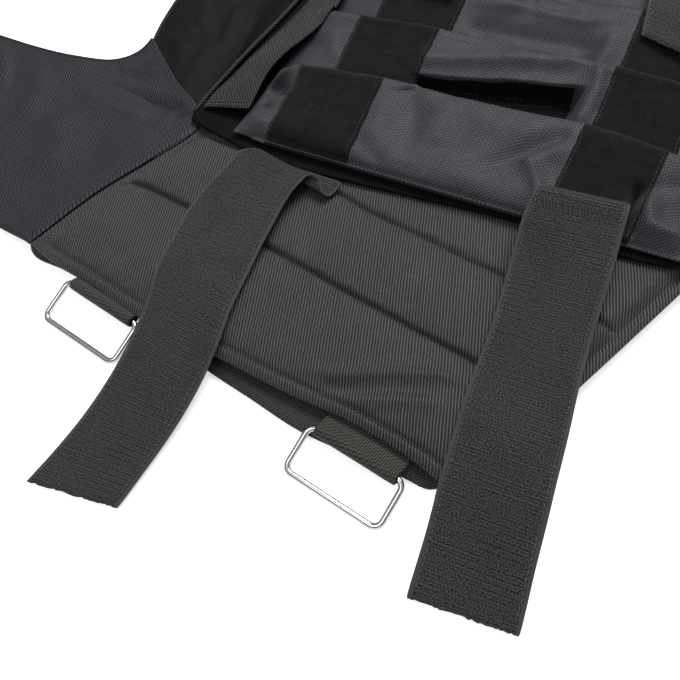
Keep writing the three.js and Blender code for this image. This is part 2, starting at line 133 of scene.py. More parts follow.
# ---------------------------------------------------------------- numbers
def hermite(t, y, q, mono=False):
    """Smooth curve through y at t, read at the 1-D positions q."""
    t, y, q = np.asarray(t, float), np.asarray(y, float), np.asarray(q, float)
    h = np.diff(t)
    sh = (-1,) + (1,) * (y.ndim - 1)
    d = np.diff(y, axis=0) / h.reshape(sh)
    m = np.empty_like(y)
    m[0], m[-1] = d[0], d[-1]
    if len(t) > 2:
        a, b = d[:-1], d[1:]
        h0, h1 = h[:-1].reshape(sh), h[1:].reshape(sh)
        if mono:
            w1, w2 = 2 * h1 + h0, h1 + 2 * h0
            with np.errstate(divide="ignore", invalid="ignore"):
                mm = (w1 + w2) / (w1 / a + w2 / b)
            m[1:-1] = np.where(a * b > 0, mm, 0)
        else:
            m[1:-1] = (a * h1 + b * h0) / (h0 + h1)
    k = np.clip(np.searchsorted(t, q, side="right") - 1, 0, len(t) - 2)
    hh = h[k].reshape(sh)
    s = ((q - t[k]) / h[k]).reshape(sh)
    return (
        y[k] * (1 + 2 * s) * (1 - s) ** 2
        + m[k] * hh * s * (1 - s) ** 2
        + y[k + 1] * s * s * (3 - 2 * s)
        + m[k + 1] * hh * s * s * (s - 1)
    )


def look(table, q, mono=True):
    """Value of a table of (place, value) rows at every q, held at the ends."""
    t = np.array([r[0] for r in table], float)
    y = np.array([r[1] for r in table], float)
    q = np.asarray(q, float)
    return hermite(t, y, np.clip(q.ravel(), t[0], t[-1]), mono).reshape(q.shape)


def lengths(p):
    return np.r_[0, np.cumsum(np.linalg.norm(np.diff(p, axis=0), axis=1))]


def curve(points, n=None, step=None, mono=False):
    p = np.asarray(points, float)
    s = lengths(p)
    if step:
        n = max(2, int(round(s[-1] / step)) + 1)
    return hermite(s, p, np.linspace(0, s[-1], n), mono)


def evenly(p, step):
    """The polyline p again, at even steps along its length."""
    s = lengths(p)
    n = max(2, int(round(s[-1] / step)) + 1)
    q = np.linspace(0, s[-1], n)
    return np.stack([np.interp(q, s, p[:, k]) for k in range(p.shape[1])], 1)


def smooth(x, a=0.0, b=1.0):
    t = np.clip((np.asarray(x, float) - a) / (b - a), 0, 1)
    return t * t * (3 - 2 * t)


def noise2(x, y, scale, seed):
    """Smooth noise from about -1 to 1."""
    g = np.random.default_rng(seed).uniform(-1, 1, (64, 64))
    x, y = np.asarray(x, float) / scale, np.asarray(y, float) / scale
    i, j = np.floor(x).astype(int), np.floor(y).astype(int)
    fx, fy = x - i, y - j
    sx, sy = fx * fx * (3 - 2 * fx), fy * fy * (3 - 2 * fy)
    i0, i1, j0, j1 = i % 64, (i + 1) % 64, j % 64, (j + 1) % 64
    return (g[i0, j0] * (1 - sx) + g[i1, j0] * sx) * (1 - sy) + (
        g[i0, j1] * (1 - sx) + g[i1, j1] * sx
    ) * sy


def to_line(x, y, pts):
    """Distance to a polyline, signed (left of it is positive), and the share of its length."""
    best = np.full(x.shape, 1e9)
    side, share = np.zeros(x.shape), np.zeros(x.shape)
    p = np.asarray(pts, float)[:, :2]
    s = lengths(p)
    for k in range(len(p) - 1):
        a, d = p[k], p[k + 1] - p[k]
        L = d @ d
        t = np.clip(((x - a[0]) * d[0] + (y - a[1]) * d[1]) / L, 0, 1)
        ex, ey = x - a[0] - t * d[0], y - a[1] - t * d[1]
        dist = np.hypot(ex, ey)
        near = dist < best
        best = np.where(near, dist, best)
        side = np.where(near, np.sign(d[0] * ey - d[1] * ex), side)
        share = np.where(near, (s[k] + t * math.sqrt(L)) / s[-1], share)
    return best * side, share


def folds(x, y, rows):
    """Height of a list of folds: line, width to its left and right, height, and whether each end fades."""
    z = np.zeros(np.shape(x))
    for r in rows:
        d, t = to_line(x, y, r["line"])
        w = np.where(d > 0, r["w"], r.get("w2", r["w"]))
        f0, f1 = r.get("fade", (0.25, 0.25))
        end = smooth(t, 0, f0) if f0 else 1.0
        end = end * (1 - smooth(t, 1 - f1, 1) if f1 else 1.0)
        z = z + r["h"] * np.exp(-((d / w) ** 2)) * end
    return z


# ---------------------------------------------------------------- meshes
def make(name, verts, faces, uvs, mats, body="vest", smooth_faces=True, face_mat=None):
    """verts in block mm; uvs per vertex in mm of cloth."""
    me = bpy.data.meshes.new(name)
    v = world(verts)
    me.from_pydata(v.tolist(), [], faces)
    me.validate(clean_customdata=False)
    loops = np.zeros(len(me.loops), int)
    me.loops.foreach_get("vertex_index", loops)
    layer = me.uv_layers.new(name="cloth")
    layer.data.foreach_set("uv", np.asarray(uvs, np.float32)[loops].ravel())
    for m in mats if isinstance(mats, (list, tuple)) else [mats]:
        me.materials.append(m)
    if face_mat is not None:
        me.polygons.foreach_set("material_index", np.asarray(face_mat, np.int32))
    me.polygons.foreach_set("use_smooth", [smooth_faces] * len(me.polygons))
    me.update()
    ob = bpy.data.objects.new(name, me)
    SCENE.collection.objects.link(ob)
    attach(ob, body)
    return ob


def normals_of(top):
    du = np.gradient(top, axis=1)
    dv = np.gradient(top, axis=0)
    n = np.cross(du, dv)
    return n / np.maximum(np.linalg.norm(n, axis=2, keepdims=True), 1e-9)


def solid(top, bottom, uv, rings=1, bulge=0.5):
    """Closed body between two grids of the same shape (rows, columns, 3)."""
    nv, nu = top.shape[:2]
    idx = np.arange(nv * nu).reshape(nv, nu)
    verts = [top.reshape(-1, 3), bottom.reshape(-1, 3)]
    uvs = [uv.reshape(-1, 2), uv.reshape(-1, 2)]
    a, b, c, d = idx[:-1, :-1], idx[:-1, 1:], idx[1:, 1:], idx[1:, :-1]
    quads = np.stack([a, b, c, d], -1).reshape(-1, 4)
    back = np.stack([a, d, c, b], -1).reshape(-1, 4) + nv * nu
    loop = np.r_[idx[0, :], idx[1:, -1], idx[-1, -2::-1], idx[-2:0:-1, 0]]
    inner = np.r_[idx[1, :], idx[1:, -2], idx[-2, -2::-1], idx[-2:0:-1, 1]]
    t, o = top.reshape(-1, 3)[loop], bottom.reshape(-1, 3)[loop]
    f = uv.reshape(-1, 2)
    duv = f[loop] - f[inner]
    duv /= np.maximum(np.linalg.norm(duv, axis=1, keepdims=True), 1e-9)
    out = t - top.reshape(-1, 3)[inner]
    ax = t - o
    h = np.linalg.norm(ax, axis=1, keepdims=True)
    axn = ax / np.maximum(h, 1e-9)
    out = out - (out * axn).sum(1, keepdims=True) * axn
    out /= np.maximum(np.linalg.norm(out, axis=1, keepdims=True), 1e-9)
    prev = loop
    side = []
    base = 2 * nv * nu
    n = len(loop)
    for k in range(rings):
        phi = math.pi / 2 - math.pi * (k + 1) / (rings + 1)
        p = (t + o) / 2 + axn * (h / 2) * math.sin(phi) + out * h * bulge * math.cos(phi)
        verts.append(p)
        uvs.append(f[loop] + duv * (h * 0.5) * (k + 1) / (rings + 1) * 1.5)
        cur = base + np.arange(n)
        base += n
        side.append(np.stack([prev, cur, np.roll(cur, -1), np.roll(prev, -1)], -1))
        prev = cur
    last = loop + nv * nu
    side.append(np.stack([prev, last, np.roll(last, -1), np.roll(prev, -1)], -1))
    faces = np.concatenate([quads, back] + side)
    return np.concatenate(verts), faces.tolist(), np.concatenate(uvs)


CUTS = {}  # the laid surface of each cloth piece


def sheet(name, top, t, uv, mats, body="vest", rings=1, bulge=0.5):
    CUTS[name] = np.array(top, float)
    n = normals_of(top)
    t = np.asarray(t, float)
    bottom = top - n * (t[..., None] if t.ndim else t)
    v, f, u = solid(top, bottom, uv, rings, bulge)
    return make(name, v, f, u, mats, body)


def grid_uv(top):
    """Millimetres along the cloth, from the middle row and column."""
    nv, nu = top.shape[:2]
    du = np.linalg.norm(np.diff(top, axis=1), axis=2)
    dv = np.linalg.norm(np.diff(top, axis=0), axis=2)
    u = np.concatenate([np.zeros((nv, 1)), np.cumsum(du, 1)], 1)
    v = np.concatenate([np.zeros((1, nu)), np.cumsum(dv, 0)], 0)
    u = u - u[:, nu // 2][:, None]
    return np.stack([u, v], -1)


def sweep(name, path, across, up, profile, mats, body="vest", uv_scale=1.0, caps=True):
    """Closed section profile [(across, up)] swept along path; across and up are unit vectors per point."""
    path = np.asarray(path, float)
    n, m = len(path), len(profile)
    pr = np.asarray(profile, float)
    if pr.ndim == 2:
        pr = np.repeat(pr[None], n, 0)
    m = pr.shape[1]
    v = path[:, None] + across[:, None] * pr[:, :, :1] + up[:, None] * pr[:, :, 1:]
    s = lengths(path)
    g = np.r_[0, np.cumsum(np.linalg.norm(np.diff(pr[n // 2], axis=0), axis=1))]
    uv = np.stack(np.meshgrid(g, s), -1) * uv_scale
    faces = []
    for k in range(n - 1):
        for j in range(m):
            j1 = (j + 1) % m
            faces.append((k * m + j, k * m + j1, (k + 1) * m + j1, (k + 1) * m + j))
    if caps:
        faces.append(tuple(range(m))[::-1])
        faces.append(tuple((n - 1) * m + j for j in range(m)))
    return v.reshape(-1, 3), faces, uv.reshape(-1, 2)


def frames(path, up_hint):
    path = np.asarray(path, float)
    t = np.gradient(path, axis=0)
    t /= np.maximum(np.linalg.norm(t, axis=1, keepdims=True), 1e-9)
    up = np.asarray(up_hint, float)
    if up.ndim == 1:
        up = np.repeat(up[None], len(path), 0)
    up = up - (up * t).sum(1, keepdims=True) * t
    up /= np.maximum(np.linalg.norm(up, axis=1, keepdims=True), 1e-9)
    return t, np.cross(t, up), up


class Bunch:
    """Collects many small meshes into one piece."""

    def __init__(self):
        self.v, self.f, self.u, self.n = [], [], [], 0

    def add(self, v, f, u):
        self.v.append(np.asarray(v, float))
        self.f += [tuple(int(i) + self.n for i in q) for q in f]
        self.u.append(np.asarray(u, float))
        self.n += len(v)

    def make(self, name, mats, body="vest"):
        return make(name, np.concatenate(self.v), self.f, np.concatenate(self.u), mats, body)


def tree_of(*objects):
    """What lies uppermost: a search tree over the top faces of built pieces, in block mm."""
    verts, faces, n = [], [], 0
    for o in objects:
        co = np.zeros(len(o.data.vertices) * 3)
        o.data.vertices.foreach_get("co", co)
        verts.append(co.reshape(-1, 3) * 1000 - SHIFT)
        faces += [tuple(i + n for i in p.vertices) for p in o.data.polygons]
        n += len(o.data.vertices)
    return BVHTree.FromPolygons(np.concatenate(verts).tolist(), faces)


def drape(tree, xy, lift=0.0, top=80.0):
    """Points of a plan line laid on the surface under them, with the normals there."""
    pts, nrm = [], []
    for x, y in np.asarray(xy, float)[:, :2]:
        hit, n, _, _ = tree.ray_cast(Vector((x, y, top)), Vector((0, 0, -1)))
        if hit is None:
            pts.append((np.nan,) * 3)
            nrm.append((0, 0, 1))
            continue
        if n.z < 0:
            n = -n
        pts.append(tuple(hit))
        nrm.append(tuple(n))
    p, n = np.array(pts), np.array(nrm)
    ok = ~np.isnan(p[:, 0])
    p, n = p[ok], n[ok]
    if len(n) > 4:
        k = np.array([1, 2, 3, 2, 1]) / 9
        n = np.stack([np.convolve(np.pad(n[:, c], 2, "edge"), k, "valid") for c in range(3)], 1)
        n /= np.linalg.norm(n, axis=1, keepdims=True)
    return p + n * lift, n


def thread_run(bunch, p, n, pitch=3.4, gap=0.75, r=0.27, wander=0.0, seed=1):
    """A row of stitches along the laid line p with surface normals n."""
    if len(p) < 2:
        return
    s = lengths(p)
    rng = np.random.default_rng(seed)
    ring = [(math.cos(a), math.sin(a)) for a in np.linspace(0, 2 * math.pi, 6)[:-1]]
    k = 0.4
    while k + pitch - gap < s[-1]:
        a, b = k, k + pitch - gap
        k += pitch
        q = np.linspace(a, b, 4)
        c = np.stack([np.interp(q, s, p[:, i]) for i in range(3)], 1)
        m = np.stack([np.interp(q, s, n[:, i]) for i in range(3)], 1)
        m /= np.linalg.norm(m, axis=1, keepdims=True)
        c = c + m * (np.array([-0.3, 0.62, 0.62, -0.3])[:, None] * r)
        t = c[-1] - c[0]
        L = np.linalg.norm(t)
        if L < 0.5:
            continue
        t /= L
        w = np.cross(t, m)
        c = c + w * rng.uniform(-wander, wander)
        rad = r * np.array([0.5, 1, 1, 0.5])
        v = [c[0] - t * 0.15]
        for i in range(4):
            for x, y in ring:
                v.append(c[i] + (w[i] * x * 1.15 + m[i] * y * 0.9) * rad[i])
        v.append(c[-1] + t * 0.15)
        f = [(0, 1 + j, 1 + (j + 1) % 5) for j in range(5)]
        for i in range(3):
            o = 1 + 5 * i
            f += [(o + j, o + 5 + j, o + 5 + (j + 1) % 5, o + (j + 1) % 5) for j in range(5)]
        f += [(21, 16 + (j + 1) % 5, 16 + j) for j in range(5)]
        u = [(0, a)] + [(j * 0.3, q[i]) for i in range(4) for j in range(5)] + [(0, b)]
        bunch.add(v, f, u)


# ---------------------------------------------------------------- materials
def srgb(*c):
    return tuple((x / 255 / 12.92) if x <= 10 else ((x / 255 + 0.055) / 1.055) ** 2.4 for x in c)


class Nodes:
    def __init__(self, name):
        self.mat = bpy.data.materials.new(name)
        self.mat.use_nodes = True
        self.t = self.mat.node_tree
        self.b = self.t.nodes["Principled BSDF"]
        uv = self.t.nodes.new("ShaderNodeUVMap")
        uv.uv_map = "cloth"
        self.uv = uv.outputs[0]
        s = self.t.nodes.new("ShaderNodeSeparateXYZ")
        self.t.links.new(self.uv, s.inputs[0])
        self.u, self.v = s.outputs[0], s.outputs[1]

    def put(self, socket, value):
        if isinstance(value, bpy.types.NodeSocket):
            self.t.links.new(value, socket)
        elif isinstance(value, (tuple, list)):
            socket.default_value = (*value, 1) if len(value) == 3 and len(socket.default_value) == 4 else value
        else:
            socket.default_value = value

    def math(self, op, a, b=0.0, c=0.0, clamp=False):
        n = self.t.nodes.new("ShaderNodeMath")
        n.operation, n.use_clamp = op, clamp
        for s, v in zip(n.inputs, (a, b, c)):
            self.put(s, v)
        return n.outputs[0]

    def wave(self, period, angle, shift=None):
        """cos of the place along a direction of the cloth"""
        a = math.radians(angle)
        k = 2 * math.pi / period
        p = self.math("MULTIPLY_ADD", self.u, k * math.cos(a), 0.0)
        p = self.math("MULTIPLY_ADD", self.v, k * math.sin(a), p)
        if shift is not None:
            p = self.math("ADD", p, shift)
        return self.math("COSINE", p)

    def noise(self, scale, detail=2.0, rough=0.5, stretch=(1, 1, 1), seed=0.0):
        """noise on the cloth's own millimetres; scale is the size of a blotch in mm"""
        m = self.t.nodes.new("ShaderNodeMapping")
        self.put(m.inputs["Vector"], self.uv)
        m.inputs["Scale"].default_value = [x / scale for x in stretch]
        m.inputs["Location"].default_value = (seed, seed * 1.7, 0)
        n = self.t.nodes.new("ShaderNodeTexNoise")
        n.noise_dimensions = "2D"
        self.put(n.inputs["Vector"], m.outputs[0])
        n.inputs["Scale"].default_value = 1.0
        n.inputs["Detail"].default_value = detail
        n.inputs["Roughness"].default_value = rough
        return n.outputs[0]

    def cells(self, scale, stretch=(1, 1, 1)):
        m = self.t.nodes.new("ShaderNodeMapping")
        self.put(m.inputs["Vector"], self.uv)
        m.inputs["Scale"].default_value = [x / scale for x in stretch]
        n = self.t.nodes.new("ShaderNodeTexVoronoi")
        n.voronoi_dimensions = "2D"
        self.put(n.inputs["Vector"], m.outputs[0])
        n.inputs["Scale"].default_value = 1.0
        return n.outputs["Distance"]

    def span(self, value, a, b, lo=0.0, hi=1.0, soft=True):
        n = self.t.nodes.new("ShaderNodeMapRange")
        n.interpolation_type = "SMOOTHSTEP" if soft else "LINEAR"
        self.put(n.inputs["Value"], value)
        n.inputs["From Min"].default_value, n.inputs["From Max"].default_value = a, b
        n.inputs["To Min"].default_value, n.inputs["To Max"].default_value = lo, hi
        return n.outputs[0]

    def mix(self, fac, a, b):
        n = self.t.nodes.new("ShaderNodeMix")
        n.data_type = "RGBA"
        self.put(n.inputs[0], fac)
        self.put(n.inputs[6], a)
        self.put(n.inputs[7], b)
        return n.outputs[2]

    def blend(self, fac, a, b):
        n = self.t.nodes.new("ShaderNodeMix")
        n.data_type = "FLOAT"
        self.put(n.inputs[0], fac)
        self.put(n.inputs[2], a)
        self.put(n.inputs[3], b)
        return n.outputs[0]

    def tint(self, colour, factor):
        n = self.t.nodes.new("ShaderNodeVectorMath")
        n.operation = "SCALE"
        n.inputs[0].default_value = colour
        self.put(n.inputs["Scale"], factor)
        return n.outputs[0]

    def bump(self, height, depth_mm, strength=1.0):
        n = self.t.nodes.new("ShaderNodeBump")
        n.inputs["Strength"].default_value = strength
        n.inputs["Distance"].default_value = depth_mm * 0.001
        self.put(n.inputs["Height"], height)
        self.put(self.b.inputs["Normal"], n.outputs[0])

    def end(self, colour, rough, spec=0.35, sheen=0.0, sheen_tint=(1, 1, 1), metal=0.0):
        self.put(self.b.inputs["Base Color"], colour)
        self.put(self.b.inputs["Roughness"], rough)
        self.b.inputs["Specular IOR Level"].default_value = spec
        self.b.inputs["Metallic"].default_value = metal
        self.b.inputs["Sheen Weight"].default_value = sheen
        self.b.inputs["Sheen Roughness"].default_value = 0.45
        self.b.inputs["Sheen Tint"].default_value = (*sheen_tint, 1)
        return self.mat


def woven(name, colour, waves, gain=0.5, depth=0.12, rough=0.55, spec=0.16, sheen=0.04, cloud=0.12, fuzz=0.2, sharp=1.0):
    """Woven cloth: waves is a short table of (period mm, direction, share)."""
    n = Nodes(name)
    warp = n.math("MULTIPLY_ADD", n.noise(9, 2), 2.2, -1.1)
    h = None
    for period, angle, share in waves:
        w = n.math("MULTIPLY", n.wave(period, angle, warp), share)
        h = w if h is None else n.math("ADD", h, w)
    h = n.math("MULTIPLY_ADD", h, 0.5, 0.5, clamp=True)
    if sharp != 1.0:
        h = n.math("POWER", h, sharp)
    fine = n.noise(0.5, 1)
    h2 = n.math("MULTIPLY_ADD", fine, fuzz, h)
    c = n.math("MAXIMUM", n.math("MULTIPLY_ADD", h, 2 * gain, 1 - gain), 0.04)
    c = n.math("MULTIPLY", c, n.math("MULTIPLY_ADD", fine, 2 * fuzz, 1 - fuzz))
    c = n.math("MULTIPLY", c, n.math("MULTIPLY_ADD", n.noise(42, 3, 0.6), 2 * cloud, 1 - cloud))
    c = n.math("MULTIPLY", c, n.math("MULTIPLY_ADD", n.noise(3.2, 2, 0.6), 0.3, 0.85))
    n.bump(h2, depth)
    r = n.math("MULTIPLY_ADD", h, -0.12, rough + 0.06)
    return n.end(n.tint(colour, c), r, spec, sheen)


def plush():
    n = Nodes("loop_plush")
    a, b = n.noise(1.1, 3, 0.65), n.noise(0.45, 2, 0.7, seed=3.1)
    h = n.math("ADD", n.math("MULTIPLY", a, 0.6), n.math("MULTIPLY", b, 0.6))
    c = n.math("MAXIMUM", n.math("MULTIPLY_ADD", h, 3.2, -0.85), 0.1)
    c = n.math("MULTIPLY", c, n.math("MULTIPLY_ADD", n.noise(7, 3, 0.6, seed=8), 0.7, 0.65))
    n.bump(h, 0.6)
    return n.end(n.tint(srgb(21, 21, 21), c), 0.95, 0.06, 0.08)


def hook_tape(half=24.6, edge=1.5):
    """Hook field with its flat woven edges; u is 0 along the middle of the tape."""
    n = Nodes("hook_tape")
    warp = n.math("MULTIPLY_ADD", n.noise(14, 2), 1.6, -0.8)
    rows = n.math("MULTIPLY", n.wave(1.58, 91, warp), 0.55)
    rows = n.math("ADD", rows, n.math("MULTIPLY", n.wave(3.1, 92, warp), 0.2))
    cols = n.math("ADD", n.math("MULTIPLY", n.wave(1.42, 39, warp), 0.26), n.math("MULTIPLY", n.wave(1.44, 152, warp), 0.26))
    patch = n.span(n.noise(15, 3, 0.6, stretch=(0.7, 1.5, 1), seed=5), 0.42, 0.58)
    grain = n.math("SUBTRACT", 0.5, n.cells(0.85))
    h = n.math("ADD", n.math("MULTIPLY", rows, n.blend(patch, 1.0, 0.35)), n.math("MULTIPLY", cols, n.blend(patch, 0.45, 1.0)))
    h = n.math("ADD", n.math("MULTIPLY_ADD", h, 0.42, 0.5), n.math("MULTIPLY", grain, 0.7))
    fine = n.noise(0.7, 3, 0.75, seed=2)
    h = n.math("ADD", h, n.math("MULTIPLY_ADD", fine, 2.0, -1.0), clamp=True)
    au = n.math("ABSOLUTE", n.u)
    on_edge = n.span(au, half - edge - 0.25, half - edge + 0.25)
    weave = n.math("MULTIPLY_ADD", n.math("MULTIPLY", n.wave(0.9, 35), n.wave(0.9, 145)), 0.3, 0.6)
    height = n.blend(on_edge, h, weave)
    c = n.math("MULTIPLY_ADD", h, 1.95, 0.06)
    c = n.math("MULTIPLY", c, n.math("MULTIPLY_ADD", n.noise(30, 3, 0.6, seed=9), 0.34, 0.83))
    field = n.tint(srgb(50, 50, 51), c)
    band = n.tint(srgb(64, 64, 66), n.math("MULTIPLY_ADD", weave, 0.9, 0.5))
    n.bump(height, 0.4)
    return n.end(n.mix(on_edge, field, band), 0.75, 0.1, 0.06)


def webbing(name, colour):
    n = Nodes(name)
    warp = n.math("MULTIPLY_ADD", n.noise(10, 2), 1.2, -0.6)
    a = n.wave(1.34, 0, warp)
    b = n.wave(1.55, 80, warp)
    h = n.math("ADD", n.math("MULTIPLY", a, 0.5), n.math("MULTIPLY", b, 0.38))
    h = n.math("ADD", h, n.math("MULTIPLY", n.wave(2.05, 40, warp), 0.22))
    h = n.math("MULTIPLY_ADD", h, 0.5, 0.5, clamp=True)
    fine = n.noise(0.4, 2, 0.7)
    c = n.math("MULTIPLY", n.math("MULTIPLY_ADD", h, 2.6, -0.25), n.math("MULTIPLY_ADD", fine, 0.9, 0.55))
    n.bump(n.math("MULTIPLY_ADD", fine, 0.2, h), 0.4)
    return n.end(n.tint(colour, n.math("MAXIMUM", c, 0.06)), 0.62, 0.16, 0.05)


def thread(colour=srgb(66, 66, 68), name="thread"):
    n = Nodes(name)
    h = n.wave(0.55, 60)
    c = n.math("MULTIPLY_ADD", h, 0.25, n.math("MULTIPLY_ADD", n.noise(12, 2), 0.7, 0.65))
    n.bump(n.math("MULTIPLY_ADD", h, 0.5, 0.5), 0.05)
    return n.end(n.tint(colour, c), 0.5, 0.3, 0.05)


def chrome():
    n = Nodes("ring_chrome")
    s = n.noise(1.2, 3, 0.6, stretch=(1, 6, 1))
    r = n.math("MULTIPLY_ADD", s, 0.1, 0.12)
    c = n.math("MULTIPLY_ADD", n.noise(6, 3), 0.12, 0.88)
    n.bump(s, 0.004)
    n.b.inputs["Specular Tint"].default_value = (0.02, 0.02, 0.02, 1)
    return n.end(n.tint((0.56, 0.565, 0.58), c), r, 0.5, 0, metal=1.0)


def make_materials():
    m = {}
    m["rib"] = woven("nylon_rib", srgb(54, 54, 56), [(1.55, 17, 1.1), (1.25, 85.4, 0.16), (1.23, 132, 0.2)], gain=0.85, depth=0.3, rough=0.5, fuzz=0.2)
    m["pocket"] = woven("nylon_pocket", srgb(53, 54, 58), [(1.34, 6, 0.6), (1.42, 51, 0.5), (1.63, 126, 0.5)], gain=0.72, depth=0.2, rough=0.5, fuzz=0.18)
    m["pocket_2"] = woven("nylon_pocket_second", srgb(52, 53, 58), [(1.34, 6, 0.62), (1.42, 51, 0.5), (1.63, 126, 0.52)], gain=0.6, depth=0.17, rough=0.5, fuzz=0.15)
    # darker copy of the pocket nylon for the two far rows: painted shade
    m["pocket_far_painted_shade"] = woven("nylon_pocket_far_painted_shade", srgb(44, 45, 49), [(1.34, 6, 0.6), (1.42, 51, 0.45), (1.63, 126, 0.5)], gain=0.45, depth=0.14, rough=0.5, fuzz=0.12)
    m["side"] = woven("nylon_side", srgb(46, 46, 50), [(1.86, 14, 0.95), (1.5, 82, 0.15), (2.4, 48, 0.2)], gain=0.65, depth=0.12, rough=0.5, spec=0.12, sheen=0.02, fuzz=0.2)
    # the side nylon made much darker, for the side pieces and shoulders: painted shade
    m["side_up"] = woven("nylon_side_upper", srgb(20, 20, 20), [(1.6, 40, 0.7), (1.3, 118, 0.3)], gain=0.4, depth=0.12, rough=0.62, spec=0.07, sheen=0.0, fuzz=0.14)
    m["strip"] = woven("nylon_strip", srgb(38, 38, 40), [(1.6, 37.5, 1.0), (1.3, 100, 0.35)], gain=0.95, depth=0.26, rough=0.5, fuzz=0.2)
    m["under"] = woven("nylon_under", srgb(50, 48, 48), [(1.2, 50, 0.8), (1.25, 128, 0.7)], gain=1.0, depth=0.3, rough=0.5, fuzz=0.25)
    m["binding"] = woven("binding", srgb(34, 34, 35), [(0.9, 90, 0.6), (1.1, 20, 0.3)], gain=0.4, depth=0.12, rough=0.6, fuzz=0.2)
    # near-black cloth of the front body: painted shade for the shadow under the first pocket row
    m["painted_shade_hem_cloth"] = woven("painted_shade_hem_cloth", srgb(14, 14, 14), [(1.55, 17, 0.9), (1.25, 85.4, 0.4)], gain=0.8, depth=0.2, rough=0.75, spec=0.05, sheen=0.0, fuzz=0.2)
    # near-black cloth for the sheet in the sagging pocket mouth: painted shade
    m["inner"] = woven("nylon_painted_shade_mouth", srgb(14, 14, 14), [(1.4, 14, 0.8), (1.3, 98, 0.3)], gain=0.4, depth=0.08, rough=0.8, spec=0.03, sheen=0.0, fuzz=0.2)
    m["plush"] = plush()
    m["hook"] = hook_tape()
    m["web"] = webbing("webbing", srgb(52, 51, 48))
    m["thread"] = thread()
    m["thread_dark"] = thread(srgb(46, 46, 47), "thread_dark")
    m["chrome"] = chrome()
    return m


# ---------------------------------------------------------------- shared heights
BODY_TOP = [(-14, 19.3), (0, 19.1), (14, 17.5), (40, 15.3), (90, 14.1), (140, 13.7), (190, 13.5), (232, 13.3)]
LIFT = [(0, -0.5), (1, 1.3), (2, 2.7), (4, 4.4), (9, 7.2), (24, 10.9), (40, 15.0), (52, 17.5), (55, 17.4)]
KEEP = [(0, 0), (3, 0.22), (8, 0.55), (24, 0.94), (49, 1), (75, 1), (104, 0.92), (132, 0.96), (160, 0.92), (190, 1), (216, 1), (240, 0.94), (256, 0.55), (261, 0.22), (264, 0)]
POCKET_X = (-122.0, 142.0)
# Folds of each row's wall: lines in plan, widths and heights.
ROW_FOLDS = {
    0: [
        {"line": [(68, 51), (53, 40), (45, 32), (36, 24), (20, 8)], "w": 3.2, "w2": 5.5, "h": -2.9, "fade": (0.12, 0.5)},
        {"line": [(72, 44), (58, 32), (44, 18)], "w": 5.5, "h": 1.7},
        {"line": [(46, 34), (52, 25), (59, 16), (64, 6)], "w": 3.4, "h": 2.3},
        {"line": [(60, 36), (66, 26), (66, 12)], "w": 4.0, "h": -1.2},
        {"line": [(-32, 56), (-23, 42), (-18, 28), (-19, 6)], "w": 7, "h": -2.4, "fade": (0.05, 0.4)},
        {"line": [(-6, 54), (-4, 38), (-4, 20)], "w": 8, "h": 1.5},
        {"line": [(-42, 46), (-40, 30), (-38, 12)], "w": 5, "h": 1.0},
        {"line": [(-54, 20), (-39, 9), (-22, 2)], "w": 5, "h": -1.3},
        {"line": [(8, 48), (30, 42), (50, 47)], "w": 8, "h": 1.2},
        {"line": [(112, 26), (120, 35), (132, 42)], "w": 4, "h": -1.8},
        {"line": [(118, 34), (117, 17), (120, 9), (130, 7.5), (142, 8)], "w": 4.6, "w2": 5.5, "h": 6.0, "fade": (0.3, 0)},
        {"line": [(109, 34), (109, 18), (110, 3)], "w": 3.6, "h": -7.5, "fade": (0.3, 0)},
        {"line": [(-117, 45), (-110, 37), (-105, 27)], "w": 7, "h": -12.5, "fade": (0.2, 0.2)},
        {"line": [(-120, 52), (-112, 56)], "w": 4, "h": 1.5},
        {"line": [(-120, 14), (-110, 12), (-102, 2)], "w": 5, "h": 1.6},
        {"line": [(-119, 26), (-112, 21), (-105, 18)], "w": 3, "h": -2.2},
    ],
    1: [
        {"line": [(-37, 82), (-2, 91), (31, 99), (64, 105)], "w": 6.5, "w2": 4.5, "h": 3.0, "fade": (0.05, 0.15)},
        {"line": [(-2, 69), (20, 73), (52, 81)], "w": 2.6, "h": 1.6},
        {"line": [(66, 106), (69, 90), (68, 76), (64, 62)], "w": 5, "w2": 4, "h": 2.6, "fade": (0.1, 0.2)},
        {"line": [(73, 104), (76, 88), (74, 70)], "w": 3.5, "h": -1.2},
        {"line": [(-100, 92), (-92, 80), (-88, 66)], "w": 5, "h": 1.2},
        {"line": [(-112, 88), (-104, 74)], "w": 4, "h": -1.4},
        {"line": [(126, 96), (134, 80)], "w": 5, "h": -1.2},
    ],
    2: [
        {"line": [(-26, 122), (6, 124), (40, 126), (66, 124)], "w": 7, "h": -3.2, "fade": (0.2, 0.2)},
        {"line": [(-30, 138), (10, 144), (46, 142), (72, 148)], "w": 7, "w2": 4, "h": 2.0},
        {"line": [(60, 110), (66, 126), (64, 142)], "w": 5, "h": 1.5},
        {"line": [(-10, 158), (16, 146), (44, 150)], "w": 5, "h": -1.6},
        {"line": [(-26, 116), (0, 132), (20, 150)], "w": 6, "h": -0.9},
        {"line": [(-108, 146), (-96, 128)], "w": 5, "h": 1.0},
        {"line": [(134, 148), (128, 126)], "w": 5, "h": -1.0},
    ],
    3: [
        {"line": [(-24, 176), (14, 175), (58, 179)], "w": 9, "h": -3.0, "fade": (0.2, 0.2)},
        {"line": [(-20, 196), (20, 190), (60, 198)], "w": 6, "w2": 4, "h": 1.6},
        {"line": [(30, 205), (44, 190), (50, 174)], "w": 4, "h": -1.2},
        {"line": [(-104, 198), (-94, 180)], "w": 5, "h": 1.0},
    ],
}
